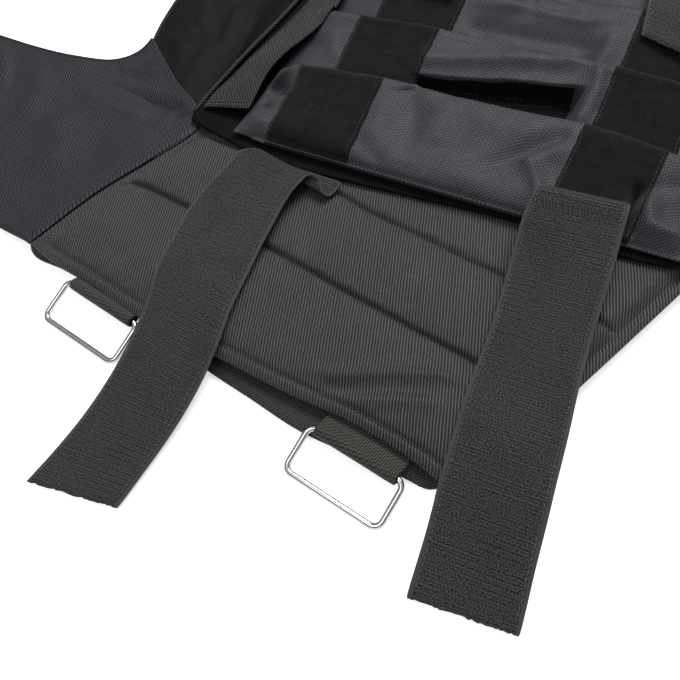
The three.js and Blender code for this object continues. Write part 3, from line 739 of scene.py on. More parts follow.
# Where a wall falls back under its own bulge: line in plan, fall below it, and the span along x.
ROW_SAGS = {
    1: {"line": [(-60, 69), (-36, 72.5), (0, 78.5), (33, 85), (62, 89)], "fall": 20, "soft": 3.4, "span": (-37, -25, 55, 65)},
    2: {"line": [(-40, 118), (0, 120), (70, 122)], "fall": 2.5, "soft": 6, "span": (-30, -16, 50, 66)},
}
MOUTHS = {
    0: [(-122, -4), (-98, -3), (-60, 0), (-43, 1), (-24, 2.5), (12, 2.5), (46, 4), (70, 4), (95, 2.5), (118, 0), (142, -2)],
    1: [(-122, -2), (-84, -3), (-34, 0), (0, 0.5), (60, 1), (86, 0), (142, -2)],
    2: [(-122, -2), (-60, 0), (20, 1), (142, -1)],
    3: [(-122, -1), (142, -1)],
}


def body_top(y):
    return look(BODY_TOP, y)


def row_top(r, x, y):
    """Upper face of the wall of pocket row r."""
    yl = y - r * ROW_PITCH
    lift = look(LIFT, yl) * look(KEEP, x - POCKET_X[0])
    z = body_top(y) + 0.45 + 2.0 + lift
    f = folds(x, y, ROW_FOLDS[r])
    if r in ROW_SAGS:
        g = ROW_SAGS[r]
        d, _ = to_line(x, y, g["line"])
        a, b, c, e = g["span"]
        f = f - g["fall"] * smooth(-d, -1.5, g["soft"]) * smooth(x, a, b) * (1 - smooth(x, c, e)) * smooth(yl, 3, 14)
    soft = noise2(x, y, 23, 11 + r) * 0.55 + noise2(x, y, 9, 31 + r) * 0.2
    mask = smooth(yl, 0, 7) * smooth(x, POCKET_X[0], POCKET_X[0] + 9) * (1 - smooth(x, POCKET_X[1] - 9, POCKET_X[1]))
    return np.maximum(z + (f + soft) * mask, body_top(y) + 2.1)


# ---------------------------------------------------------------- lower panel
HEM = [(-206.4, -109), (-177, -116.5), (-162, -118.5), (-114, -128), (-62, -132.8), (-10, -137.6), (16, -139), (44, -143.4), (60, -146.8), (72, -150.6), (85, -153.8)]
QUILT_A = [(-180.6, -51), (-150, -52), (-123, -56), (-67, -64), (-17, -74), (65, -89), (107, -97)]
QUILT_B = [(-154.4, -2), (-100, -8), (-46, -16), (-22, -22), (59, -36), (106, -42.5), (128, -49.2)]
TUCK = [(-150.5, 9), (0, 8), (151.5, 4)]


def lower_panel(mat):
    nu = 238
    lines = [curve(l, nu) for l in (HEM, QUILT_A, QUILT_B, TUCK)]
    stack = np.stack([np.c_[l, np.zeros(nu)] for l in lines])
    cuts = []
    for k, n in enumerate((44, 38, 24)):
        t = np.linspace(0, 1, n + 1)[:-1]
        cuts.append(k + 0.45 * t + 0.55 * (0.5 - 0.5 * np.cos(np.pi * t)))
    w = np.r_[np.concatenate(cuts), 3.0]
    plan = hermite([0, 1, 2, 3], stack, w)
    x, y = plan[..., 0], plan[..., 1]
    W = np.repeat(w[:, None], nu, 1)
    hem_w = 0.095
    s1 = np.clip((W - hem_w) / (1 - hem_w), 0, 1)
    puff = lambda s: np.clip(4 * s * (1 - s), 0, 1) ** 0.40
    z = np.where(W < hem_w, 12.0 - 0.9 * (1 - W / hem_w) ** 2 * 1.4 + 0.5 * np.sin(np.pi * np.clip(W / hem_w, 0, 1)), 0)
    z = np.where((W >= hem_w) & (W < 1), 12.1 + s1 * 1.4 + (3.9 - s1 * 0.7) * puff(s1), z)
    z = np.where((W >= 1) & (W < 2), 13.5 + 3.2 * puff(W - 1), z)
    z = np.where(W >= 2, 13.5 + 1.7 * puff(np.clip((W - 2) * 0.8, 0, 1)) - 0.9 * smooth(W, 2.5, 3), z)
    # seams at both sides: a flat band and a stitched line, then the padding
    du = np.linalg.norm(np.diff(plan[..., :2], axis=1), axis=2)
    left = np.concatenate([np.zeros((len(w), 1)), np.cumsum(du, 1)], 1)
    right = left[:, -1:] - left
    edge_z = 10.1 + 2.2 * smooth(W, 0.1, 2.6)
    band = edge_z + 0.25 * np.sin(np.pi * np.clip(left / 8.2, 0, 1)) ** 0.7
    rise = smooth(left, 8.0, 17) ** 0.6
    z = np.where(left < 8.0, band, edge_z + (z - edge_z) * rise)
    z = z - 0.6 * np.exp(-((left - 8.0) / 0.9) ** 2)
    z = z + (11.0 - z) * (1 - smooth(right, 4.5, 13))
    z = z - 0.7 * np.exp(-((right - 4.6) / 1.0) ** 2) + 0.5 * np.exp(-((right - 2.4) / 1.6) ** 2)
    soft = noise2(x, y, 34, 3) * 0.5 + noise2(x, y, 15, 4) * 0.22
    pucker = 0.0
    for line, share in ((QUILT_A, 1.0), (QUILT_B, 1.0)):
        d, t = to_line(x, y, line)
        z = z - 2.1 * np.exp(-((d / 1.5) ** 2)) * smooth(left, 8, 13) * smooth(right, 5, 9)
        pucker = pucker + share * 0.28 * np.sin(t * 290 / 2.9 + 3 * noise2(x, y, 20, 6)) * np.exp(-((np.abs(d) - 3.5) / 3.2) ** 2)
    d, t = to_line(x, y, HEM)
    z = z - 1.1 * np.exp(-(((np.abs(d) - 5.2) / 0.9) ** 2)) * smooth(left, 5, 9) * smooth(right, 3, 6)
    pucker = pucker + 0.34 * np.sin(t * 290 / 2.4 + 2 * noise2(x, y, 17, 7)) * np.exp(-((np.abs(d) - 8) / 3.5) ** 2)
    f = folds(x, y, [
        {"line": [(-16, -126), (6, -121), (33, -109), (52, -103), (72, -103)], "w": 3.4, "w2": 2.6, "h": 2.0},
        {"line": [(-14, -131), (10, -127), (38, -116), (60, -109)], "w": 3.5, "h": -1.5},
        {"line": [(10, -134), (38, -123), (62, -116)], "w": 3.5, "h": 1.3},
        {"line": [(-60, -30), (-48, -46), (-40, -60)], "w": 6, "h": -1.3},
        {"line": [(-58, -70), (-54, -92), (-52, -118)], "w": 7, "h": -1.2},
        {"line": [(-148, -22), (-132, -30), (-118, -34)], "w": 5, "h": 0.8},
        {"line": [(-182, -78), (-166, -84), (-146, -86)], "w": 6, "h": 0.7},
        {"line": [(-170, -104), (-150, -98), (-130, -101)], "w": 4, "h": -0.6},
        {"line": [(4, -52), (26, -60), (50, -62)], "w": 7, "h": 0.6},
        {"line": [(112, -20), (124, -30), (132, -26)], "w": 4, "h": 0.8},
        {"line": [(110, -62), (116, -52), (124, -56)], "w": 3.5, "h": 0.7},
        {"line": [(104, -76), (110, -84), (108, -96)], "w": 3.5, "h": -0.8},
    ])
    inside = smooth(left, 6, 16) * smooth(right, 4, 12) * smooth(W, 0.02, 0.12)
    z = z + (soft + pucker + f) * inside
    z = np.minimum(z, 18.6)
    # kept under the hem of the pocket block
    z = np.where(y > -14, np.minimum(z, 15.6), z)
    top = np.dstack([x, y, z])
    bottom = np.dstack([x, y, np.full_like(z, 8.2)])
    v, f_, u = solid(top, bottom, np.dstack([x, y]), rings=3, bulge=0.42)
    ob = make("lower_panel_cloth", v, f_, u, mat)
    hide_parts("lower_panel")
    return ob


BACK_HEM = [(-213, -104), (-206, -111), (-180, -114.5), (-150, -118.5), (-110, -127.5), (-65, -139.5), (-36, -145), (-4, -151), (28, -152.3), (54, -153), (67, -153.4), (73, -150), (80, -149)]


def back_panel(mat):
    nu = 110
    rows = [
        (0, curve(BACK_HEM, nu)),
        (1, curve([(-176, -50), (104, -92)], nu)),
        (2, curve([(-152, 8), (146, 0)], nu)),
        (2.6, curve([(-206, 66), (222, 66)], nu)),
        (3.1, curve([(-206, 120), (222, 120)], nu)),
        (4, curve([(-200, 200), (216, 200)], nu)),
        (4.5, curve([(-196, 231), (-60, 229), (8, 226), (76, 229), (212, 231)], nu)),
    ]
    t = [r[0] for r in rows]
    stack = np.stack([np.c_[r[1], np.zeros(nu)] for r in rows])
    q = np.r_[np.linspace(0, 0.12, 6)[:-1], np.linspace(0.12, 4.42, 76), np.linspace(4.42, 4.5, 4)[1:]]
    plan = hermite(t, stack, q, mono=True)
    x, y = plan[..., 0], plan[..., 1]
    Q = np.repeat(q[:, None], nu, 1)
    u = np.repeat(np.linspace(0, 1, nu)[None], len(q), 0)
    rim = smooth(Q, 0, 0.05) * smooth(u, 0, 0.02) * (1 - smooth(u, 0.98, 1)) * (1 - smooth(Q, 4.44, 4.5))
    z = 2.5 + 1.7 * rim + noise2(x, y, 30, 21) * 0.2 * rim
    groove = np.zeros_like(z)
    for line in ([(-180, 66), (200, 66)], [(-180, 140), (200, 140)], [(8, 60), (8, 220)], [(-100, 60), (-96, 225)], [(116, 60), (112, 225)]):
        d, _ = to_line(x, y, line)
        groove += 0.5 * np.exp(-((d / 3.5) ** 2))
    z = z - groove * rim
    top = np.dstack([x, y, z])
    bottom = np.dstack([x, y, 0.25 + 0.5 * (1 - rim)])
    v, f_, uv = solid(top, bottom, np.dstack([x, y]), rings=2, bulge=0.5)
    ob = make("back_panel_cloth", v, f_, uv, mat)
    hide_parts("back_panel")
    return ob


# ---------------------------------------------------------------- wings
WING_LEFT = [
    (-203.8, -110.0, -262, -99, -384, -84, 7.4), (-187.0, -67, -252, -62, -387, -50, 8.2),
    (-165.2, -28, -243, -26, -389, -18, 9.2), (-151.6, 0, -240, 4, -390, 12, 10.0),
    (-150.6, 7.0, -240, 8, -390, 15, 10.0), (-158.5, 15.5, -241, 12, -389.6, 20, 9.4),
    (-187, 33.5, -242, 13, -389, 28, 7.8), (-226, 64.5, -237, 20.5, -387, 42.5, 6.6),
]
WING_AT = [0, 1, 2, 2.7, 2.88, 3.1, 3.6, 4.6]


def wing_left(mat):
    nu, nv = 170, 92
    rows = np.array(WING_LEFT)
    c = hermite(WING_AT, rows, np.r_[np.linspace(0, 2.6, 48)[:-1], np.linspace(2.6, 4.6, nv - 47)], mono=True)
    s = np.linspace(0, 1, nu) ** 1.25
    a, k, b = (1 - s) ** 2, 2 * s * (1 - s), s * s
    x = c[:, 0:1] * a + c[:, 2:3] * k + c[:, 4:5] * b
    y = c[:, 1:2] * a + c[:, 3:4] * k + c[:, 5:6] * b
    S = np.repeat(s[None], nv, 0)
    drop = look([(0, 1), (0.05, 0.84), (0.1, 0.64), (0.25, 0.2), (0.4, 0.03), (0.5, 0.0), (1, 0)], S)
    z = c[:, 6:7] * drop + 2.7
    f = folds(x, y, [
        {"line": [(-266, 29), (-248, 31), (-225, 31), (-205, 35)], "w": 6, "w2": 6.0, "h": -1.3, "fade": (0.3, 0.2)},
        {"line": [(-276, 24), (-255, 20), (-224, 17.5), (-199, 14.5), (-164, 12)], "w": 5.0, "w2": 7.5, "h": -2.8, "fade": (0.3, 0.1)},
        {"line": [(-244, 25), (-216, 23), (-184, 22)], "w": 6.5, "h": 1.0, "fade": (0.3, 0.2)},
        {"line": [(-262, 12), (-222, 8), (-186, 3)], "w": 9, "h": 2.4},
        {"line": [(-238, 30), (-222, 40), (-213, 52)], "w": 7, "h": 0.7},
        {"line": [(-222, -20), (-204, -40), (-192, -60)], "w": 12, "h": -1.6},
        {"line": [(-262, -10), (-240, -34), (-232, -66)], "w": 13, "h": 2.2},
        {"line": [(-300, 24), (-282, 0), (-276, -30)], "w": 9, "h": 1.8},
        {"line": [(-338, 34), (-322, 12), (-308, -10)], "w": 5, "h": 1.6},
        {"line": [(-322, 30), (-308, 8), (-300, -14)], "w": 5, "h": -0.6},
        {"line": [(-352, 30), (-338, 4), (-334, -30)], "w": 7, "h": 1.4},
        {"line": [(-300, -60), (-262, -78), (-236, -92)], "w": 10, "h": 1.4},
        {"line": [(-178, 4), (-166, 8), (-157, 12)], "w": 4, "h": -2.0, "fade": (0.3, 0)},
    ])
    soft = noise2(x, y, 40, 41) * 1.2 + noise2(x, y, 19, 42) * 0.3
    V = np.repeat(np.linspace(0, 1, nv)[:, None], nu, 1)
    mask = smooth(S, 0, 0.06) * (0.3 + 0.7 * smooth(V, 0, 0.08))
    z = z + (f + soft) * mask
    z = z - 0.9 * (1 - smooth(S * 190, 0.3, 3.0)) * (1 - smooth(V, 0.62, 0.7))
    z = np.maximum(z, 2.62)
    top = np.dstack([x, y, z])
    t_ = np.full(z.shape, 1.9)
    ob = sheet("wing_left_cloth", top, t_, np.dstack([x, y]), mat, rings=1)
    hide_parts("wing_left")
    return ob, top


def wing_right(mat):
    path = [(-4.2, 12.9), (-1.5, 12.95), (1.4, 12.5), (3.4, 11.2), (4.4, 9.3), (4.0, 7.6), (2.2, 6.6), (-2, 6.9), (-30, 7.1), (-80, 7.1), (-150, 7.1)]
    p = np.array(path)
    q = curve(np.c_[p, np.zeros(len(p))], 70)
    s = np.r_[np.linspace(0, 34, 40)[:-1], np.linspace(34, lengths(p)[-1], 22)]
    q = hermite(lengths(p), p, s)
    nv = 120
    v = np.linspace(0, 1, nv)
    x0, y0, x1, y1, rise = 89.2, -142.4, 147.0, -1.0, 40
    along = np.array([x1 - x0, y1 - y0]) / math.hypot(x1 - x0, y1 - y0)
    out = np.array([along[1], -along[0]])
    wob = noise2(v * 140, v * 0, 11, 51) * 0.7 + noise2(v * 140, v * 0, 4, 52) * 0.25
    o = np.where(q[:, 0] > -2, -2 + (q[:, 0] + 2) * 0.34, q[:, 0])[None] + 0.6 * wob[:, None] * smooth(q[:, 0], -6, 2)[None]
    x = x0 + (x1 - x0) * v[:, None] + out[0] * o
    y = y0 + (y1 - y0) * v[:, None] + out[1] * o + np.clip(-o, 0, None) / 150 * rise * (1 - v[:, None])
    z = np.repeat(np.minimum(q[:, 1], 5.2 + 0.30 * q[:, 1])[None], nv, 0) + (noise2(x, y, 12, 53) * 0.18) * (q[:, 0] > -6)[None]
    # the fold opens downwards: its outer face is the grid's upper face
    top = np.dstack([x, y, z])[:, ::1]
    uv = np.dstack([np.repeat(s[None], nv, 0), np.repeat(v[:, None] * 150, len(s), 1)])
    n = normals_of(top)
    half = 1.0
    vv, ff, uu = solid(top + n * half * 0.35, top - n * half, uv)
    ob = make("wing_right_cloth", vv, ff, uu, mat)
    CUTS[ob.name] = top
    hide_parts("wing_right")
    return ob


# ---------------------------------------------------------------- front body and side pieces
BLOCK_HEM = [(-155.5, 3.5), (-126, -3.5), (-100, -8), (-70, -8.6), (-43, -7.6), (0, -5), (36, -2.6), (59, -2), (85, -3), (110, -4.6), (140, -2), (171, 3.5)]


def front_body(mat):
    nu = 110
    rows = [
        (0, curve(BLOCK_HEM, nu)),
        (0.32, curve([(-156, 14), (172, 14)], nu)),
        (1, curve([(-151, 40), (166, 40)], nu)), (2, curve([(-148, 90), (164, 90)], nu)),
        (3, curve([(-139, 140), (155, 140)], nu)), (4, curve([(-129, 190), (145, 190)], nu)),
        (4.8, curve([(-118, 232), (-60, 222), (8, 218), (76, 222), (134, 232)], nu)),
    ]
    q = np.r_[np.linspace(0, 0.3, 14)[:-1], np.linspace(0.3, 4.8, 66)]
    plan = hermite([r[0] for r in rows], np.stack([r[1] for r in rows]), q)
    x, y = plan[..., 0], plan[..., 1]
    Q = np.repeat(q[:, None], nu, 1)
    z = body_top(y) + noise2(x, y, 30, 61) * 0.25 * smooth(Q, 0.3, 1)
    hem = 1 - smooth(Q, 0, 0.22)
    z = z + hem * (0.35 * np.sin(np.pi * np.clip(Q / 0.1, 0, 1)) + noise2(x, y, 12, 62) * 0.35)
    z = np.where(y < 14, 17.6 + (z - 17.6) * smooth(y, 2, 16), z)
    top = np.dstack([x, y, z])
    ob = sheet("front_body_cloth", top, np.full(z.shape, 2.0), np.dstack([x, y]), mat, rings=2)
    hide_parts("front_body")
    return ob


def side_piece(mat, mirror):
    """Cloth between the armhole and the piped edge of the pocket block."""
    rows = [  # left end, right end, height left, crease place and height, valley place and height, height right
        (0.0, (-225.5, 61.5), (-156.4, 8.6), 9.4, 0.70, 12.2, 0.88, 10.6, 15.6),
        (0.55, (-230, 84), (-153.5, 40), 9.2, 0.54, 11.2, 0.82, 6.2, 15.8),
        (1.1, (-232.5, 112), (-149.8, 86), 9.0, 0.24, 11.2, 0.72, 5.4, 15.2),
        (2.0, (-221, 160), (-140.6, 150), 9.2, 0.16, 10.8, 0.66, 6.2, 14.2),
        (3.0, (-204, 228), (-121, 228), 11.0, 0.2, 12.0, 0.7, 10.4, 13.2),
    ]
    nu, nv = 80, 92
    q = np.linspace(0, 3, nv)
    k = hermite([r[0] for r in rows], np.array([[*r[1], *r[2], *r[3:]] for r in rows]), q, mono=True)
    u = np.linspace(0, 1, nu)
    x = k[:, 0:1] + (k[:, 2:3] - k[:, 0:1]) * u
    y = k[:, 1:2] + (k[:, 3:4] - k[:, 1:2]) * u
    z = np.zeros_like(x)
    for j in range(nv):
        z[j] = look([(0, k[j, 4]), (k[j, 5], k[j, 6]), (k[j, 7], k[j, 8]), (1, k[j, 9])], u)
    seed = 72 if mirror else 71
    z = z + (noise2(x, y, 26, seed) * 0.5 + noise2(x, y, 11, seed + 5) * 0.2) * smooth(u, 0, 0.08) * (1 - smooth(u, 0.86, 1)) * smooth(q, 0, 0.15)[:, None]
    if not mirror:
        z = z + folds(x, y, [
            {"line": [(-216, 76), (-202, 62), (-190, 44)], "w": 5, "h": 1.6},
            {"line": [(-188, 120), (-181, 96), (-178, 72)], "w": 4.6, "h": 2.0},
            {"line": [(-170, 120), (-166, 96), (-163, 70), (-165, 46)], "w": 4, "h": -1.8},
            {"line": [(-204, 90), (-194, 76), (-186, 56)], "w": 4.0, "h": -1.4},
            {"line": [(-214, 116), (-206, 98), (-196, 84)], "w": 4, "h": 1.4},
        ])
    else:
        z = z + folds(x, y, [
            {"line": [(-206, 90), (-190, 70), (-178, 44)], "w": 5, "h": 1.2},
            {"line": [(-196, 150), (-186, 118)], "w": 6, "h": -1.2},
        ])
    if mirror:
        x = 2 * CENTRE_X - x
        x, y, z = x[:, ::-1], y[:, ::-1], z[:, ::-1]
    top = np.dstack([x, y, z])
    ob = sheet(f"side_piece_{'right' if mirror else 'left'}_cloth", top, 1.9, np.dstack([x, y]), mat)
    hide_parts(f"side_piece_{'right' if mirror else 'left'}")
    return ob, top


# ---------------------------------------------------------------- pocket rows
def pocket_row(r, mat):
    nu = 190
    x = np.linspace(POCKET_X[0], POCKET_X[1], nu)
    yl = np.r_[np.linspace(0, 8, 13)[:-1], np.linspace(8, 49, (40, 92, 28, 24)[r])[:-1], np.linspace(49, 55, 9)]
    nv = len(yl)
    end = 1 - 0.085 * (np.exp(-((x - POCKET_X[0]) / 5)) + np.exp(-((POCKET_X[1] - x) / 5)))
    X = np.repeat(x[None], nv, 0)
    Y = r * ROW_PITCH + yl[:, None] * end[None]
    edge_wave = noise2(x, x * 0, 30, 81 + r) * 0.9
    Y = Y + smooth(yl, 26, 55)[:, None] * (edge_wave + look(MOUTHS[r], x))[None]
    if r == 0:
        Y = Y - (3.6 * np.exp(-((yl / 7) ** 2)) - 1.9 * np.exp(-((yl / 0.9) ** 2)))[:, None] * (smooth(x, -116, -96) * (1 - 0.6 * smooth(x, 60, 120)))[None]
    z = row_top(r, X, Y)
    # hem of the mouth: a folded band, its stitched line not built, its lip a little rolled
    z = z + 0.28 * smooth(yl, 48.4, 49.4)[:, None] - 0.5 * smooth(yl, 53.2, 55)[:, None]
    t = np.full(z.shape, 1.5) + 0.35 * smooth(yl, 48.4, 49.4)[:, None]
    top = np.dstack([X, Y, z])
    ob = sheet(f"pocket_row_{r + 1}_cloth", top, t, np.dstack([X, grid_uv(top)[..., 1]]), mat, rings=2, bulge=0.5)
    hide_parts(f"pocket_row_{r + 1}")
    return ob


PATCHES = {
    (0, "left"): (-99.5, -99.5, 53), (0, "right"): (71.5, 67.5, 45.5),
    (1, "left"): (-83, -84, 51), (1, "right"): (75, 74, 47),
    (2, "left"): (-79, -79, 51), (2, "right"): (77, 76, 50),
    (3, "left"): (-81, -81, 50), (3, "right"): (77, 77, 50),
}


def loop_patch(r, side, mat_plush, mat_edge):
    x_mouth, x_low, w = PATCHES[(r, side)]
    nu, nv = (56, 54) if r < 2 else (44, 42)
    u = np.linspace(0, 1, nu)
    yl = np.linspace(0.9, 54.2, nv)
    rng = 90 + r * 2 + (side == "right")
    X = (x_low + (x_mouth - x_low) * yl / 54)[:, None] + w * u[None]
    X = X + 0.35 * noise2(yl, yl * 0, 6, rng)[:, None] * (1 - 2 * np.abs(u - 0.5) < 0.06)[None]
    Y = r * ROW_PITCH + yl[:, None] + smooth(yl, 26, 55)[:, None] * look(MOUTHS[r], X) + 0.25 * noise2(X, X * 0, 5, rng + 9) * ((yl < 1.5) | (yl > 53.4))[:, None]
    if r == 0:
        Y = Y - (3.6 * np.exp(-((yl / 7) ** 2)) - 1.9 * np.exp(-((yl / 0.9) ** 2)))[:, None] * smooth(X, -116, -96) * (1 - 0.6 * smooth(X, 60, 120))
    d = np.minimum(np.minimum(u * w, (1 - u) * w)[None], np.minimum(yl - 0.9, 54.2 - yl)[:, None])
    pile = smooth(d, 0.5, 1.7)
    z = row_top(r, X, Y) + 0.35 + 0.55 + 0.75 * pile
    z = z + pile * (noise2(X, Y, 1.3, rng) * 0.16 + noise2(X, Y, 4.0, rng + 3) * 0.14)
    z = z + np.where(yl > 49, 0.28, 0)[:, None]
    top = np.dstack([X, Y, z])
    bottom = np.dstack([X, Y, row_top(r, X, Y) + 0.3 * smooth(d, -1, 0.2) + np.where(yl > 49, 0.28, 0)[:, None]])
    v, f, uv = solid(top, bottom, np.dstack([X, Y]), rings=1, bulge=0.5)
    ob = make(f"loop_patch_{side}_{r + 1}_plush", v, f, uv, mat_plush)
    CUTS[ob.name] = bottom
    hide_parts(f"loop_patch_{side}_{r + 1}")
    return ob


# ---------------------------------------------------------------- side strips
def side_strip(side, mat):
    rows = [  # y left, x left, z left, y right, x right, z right
        (0.0, 13.5, -151.5, 19.6, 16.8, -120.5, 24.6), (0.3, 24, -151.5, 19.4, 28, -121, 26.4),
        (0.7, 40, -149.0, 18.6, 43, -121.6, 27.8), (1.2, 62, -145.5, 18.0, 64, -116.8, 30.4),
        (1.7, 84, -141.0, 17.4, 84, -108.6, 31.4), (2.3, 112, -135.8, 16.8, 112, -104.6, 30.6),
        (3.0, 148, -131.5, 16.2, 148, -106.5, 31.4), (3.7, 186, -126.5, 16.0, 186, -112.0, 27.8),
    ]
    nu, nv = 40, 120
    q = np.linspace(0, 3.7, nv)
    k = hermite([r[0] for r in rows], np.array([r[1:] for r in rows]), q, mono=True)
    u = np.linspace(0, 1, nu)[None]
    x = k[:, 1:2] + (k[:, 4:5] - k[:, 1:2]) * u
    y = k[:, 0:1] + (k[:, 3:4] - k[:, 0:1]) * u
    z = k[:, 2:3] + (k[:, 5:6] - k[:, 2:3]) * (u * 1.25 - 0.25 * u**2)
    z = z + 0.35 * noise2(x, y, 14, 101 + (side == "right")) * smooth(u, 0, 0.2)
    z = z + 0.45 * (1 - smooth(q, 0, 0.09))[:, None] * smooth(u, 0, 0.1)  # turned hem
    over = np.full(z.shape, -1e9)
    for r in range(4):
        yl = y - r * ROW_PITCH
        on = (yl > 0) & (yl < 56.5)
        over = np.where(on, np.maximum(over, row_top(r, x, y)), over)
    z = np.maximum(z, np.where(u > 0.5, over + 2.3, over + 1.9 - 4 * (0.5 - u)))
    if side == "right":
        x, y, z = (2 * CENTRE_X - x)[:, ::-1], y[:, ::-1], z[:, ::-1]
    top = np.dstack([x, y, z])
    ob = sheet(f"side_strip_{side}_cloth", top, 1.3, np.dstack([x, y]), mat, rings=2)
    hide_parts(f"side_strip_{side}")
    return ob, top


# ---------------------------------------------------------------- straps
def strap_surface(rows, width, nv, nu=36, wob=0.25, seed=1, curl=0.35):
    """Upper face of a flat strap along rows of (x, y, z, turn, half width); returns grid, and length of each line."""
    k = np.array([(*r[:4], r[4] if len(r) > 4 else width / 2, r[5] if len(r) > 5 else 0) for r in rows], float)
    s = lengths(k[:, :3])
    q = np.linspace(0, s[-1], nv)
    c = hermite(s, k, q)
    t = np.gradient(c[:, :3], axis=0)
    t /= np.linalg.norm(t, axis=1, keepdims=True)
    a = np.stack([np.cos(np.radians(c[:, 3])), np.sin(np.radians(c[:, 3])), np.zeros(nv)], 1)
    up = np.cross(a, t)
    up /= -np.linalg.norm(up, axis=1, keepdims=True)  # the lines run towards -y, so this is the face that shows
    u = np.linspace(-1, 1, nu)
    u = np.sign(u) * np.abs(u) ** 0.85
    half = c[:, 4] + wob * noise2(q, q * 0, 22, seed)
    P = c[:, None, :3] + a[:, None] * (u[None] * half[:, None])[..., None]
    lift = curl * np.abs(u[None]) ** 4 * (0.6 + 0.6 * noise2(q, q * 0, 40, seed + 1))[:, None]
    lift = lift + 0.3 * noise2(np.repeat(q[:, None], nu, 1), np.repeat(u[None] * 25, nv, 0), 26, seed + 2)
    P[..., 2] += c[:, 5:6] * smooth(u, 0.35, 1.0)[None]
    return P, up, lift, q, u, half


HOOK_LEFT = [
    (-62, -11.6, 18.5, -2, 17.5), (-62.5, -16, 18.5, -8, 17.5), (-64, -19.2, 19.2, -13, 18), (-68, -19.6, 21.2, -15, 20),
    (-77, -15.0, 23.6, -11, 23.6, 1.0), (-83.6, -16.6, 24.3, -6, 24.2, 2.6), (-87.4, -26.5, 23.2, -2, 24.0, 3.2), (-90.8, -40, 21.9, 2, 24.6, 2.0),
    (-92.2, -56, 21.3, 3, 25.8, 0.8), (-91.6, -80, 20.4, 2, 26.1), (-88.8, -107, 19.9, -3, 25.7),
    (-85.2, -126, 17.2, -5, 24.8), (-84.4, -144, 12.8, -3, 24.4), (-85.4, -164, 8.6, 0, 24.2), (-88.0, -186, 5.2, 3, 24.3), (-91.8, -208, 3.2, 5, 24.9), (-95.2, -226.5, 2.5, 5, 25.5),
]
HOOK_RIGHT = [
    (83, -16, 20.8, 4, 23.4), (83.4, -7, 25.6, 4, 23.4), (83.8, 3.5, 31.0, 4, 23.4), (84.4, 8.8, 33.4, 4, 23.4), (84.6, 11.2, 35.0, 4, 23.4), (84.6, 9.8, 36.4, 4, 23.6),
    (84.6, -4, 33.2, 4, 24.6), (85.8, -21, 27.8, 3.4, 24.6), (87.6, -44, 23.0, 4, 23.9), (89.4, -70, 20.8, 4, 23.6), (91.0, -96, 19.2, 4, 24.5),
    (93.2, -122, 19.7, 4, 24.8), (95.4, -146, 17.2, 4, 24.7), (97.4, -164, 11.8, 4, 24.6), (99.4, -184, 6.2, 4, 24.7), (101, -201.5, 2.6, 4, 24.8),
]


def hook_strap(name, rows, cut, node, mats, seed, end_slope=0.0):
    nv, nu = (250, 40) if name.startswith("hook") else (130, 36)
    P, up, lift, q, u, half = strap_surface(rows, 49.4, nv, nu, seed=seed)
    # the end is cut askew and a little ragged
    along = np.gradient(P[:, nu // 2], axis=0)
    along /= np.linalg.norm(along, axis=1, keepdims=True)
    near = smooth(q, q[-1] - 26, q[-1])
    P = P + along[:, None] * (near[:, None] * (u[None] * math.tan(math.radians(cut)) * 25))[..., None]
    rag = noise2(np.arange(nu), np.zeros(nu), 1.1, seed + 7) * 0.45
    P[-1] += along[-1] * rag[:, None]
    P[-2] += along[-1] * rag[:, None] * 0.5
    d = half[:, None] * (1 - np.abs(u[None]))
    field = smooth(d, 1.1, 1.9) * smooth(q[-1] - q, 0.6, 1.6)[:, None]
    thick = 0.95 + 0.75 * field
    top = P + up[:, None] * (lift + 0.5 + 0.75 * field)[..., None]
    bottom = P + up[:, None] * (lift - 0.45)[..., None]
    top[..., 2] = np.maximum(top[..., 2], 1.1)
    bottom[..., 2] = np.maximum(bottom[..., 2], 0.12)
    uv = np.dstack([np.repeat((u * 24.6)[None], nv, 0), np.repeat(q[:, None], nu, 1)])
    # columns run along +x and rows along -y here, so the grid is turned to face up
    v, f, w = solid(top[::-1], bottom[::-1], uv[::-1], rings=1, bulge=0.35)
    ob = make(name, v, f, w, mats)
    CUTS[ob.name] = bottom
    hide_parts(node)
    return ob, top, up, q, u, half, thick


TOP_LEFT = [(-60, 222, 18.4, 0), (-60, 217, 30, 0), (-60, 210, 38.8, 0), (-60, 198, 38.4, 0), (-60, 185, 36.4, 0), (-60, 172, 36.6, 0), (-60, 160, 38.8, 0), (-60, 150, 38.0, 0), (-60, 136, 35.6, 0)]
TOP_RIGHT = [
    (95, 222, 18.4, 0), (95, 217, 30, 0), (95.3, 210, 38.8, -1), (96.5, 198, 38.2, -4), (98.3, 185, 36.2, -8), (100, 172, 36.2, -11),
    (101.6, 160, 38.0, -13), (102.6, 150, 37.4, -14), (103.8, 139, 35.0, -15), (105, 129, 33.6, -16),
]


def top_strap(side, mats):
    rows, seed = (TOP_LEFT, 131) if side == "left" else (TOP_RIGHT, 141)
    return hook_strap(f"top_strap_{side}_tape", rows, 0, f"top_strap_{side}", mats, seed)


# ---------------------------------------------------------------- shoulders
SHOULDER = [
    (-158, 229, 14.4, 78), (-158, 236, 14.9, 78), (-149, 262, 16.0, 74), (-143, 287, 15.6, 71),
    (-142, 295.4, 13.2, 70), (-142, 299.0, 8.4, 70), (-142, 295.4, 3.4, 70), (-143, 287, 0.9, 71),
    (-150, 262, 0.7, 76), (-155, 242, 0.7, 80), (-155, 232.2, 0.7, 80),
]


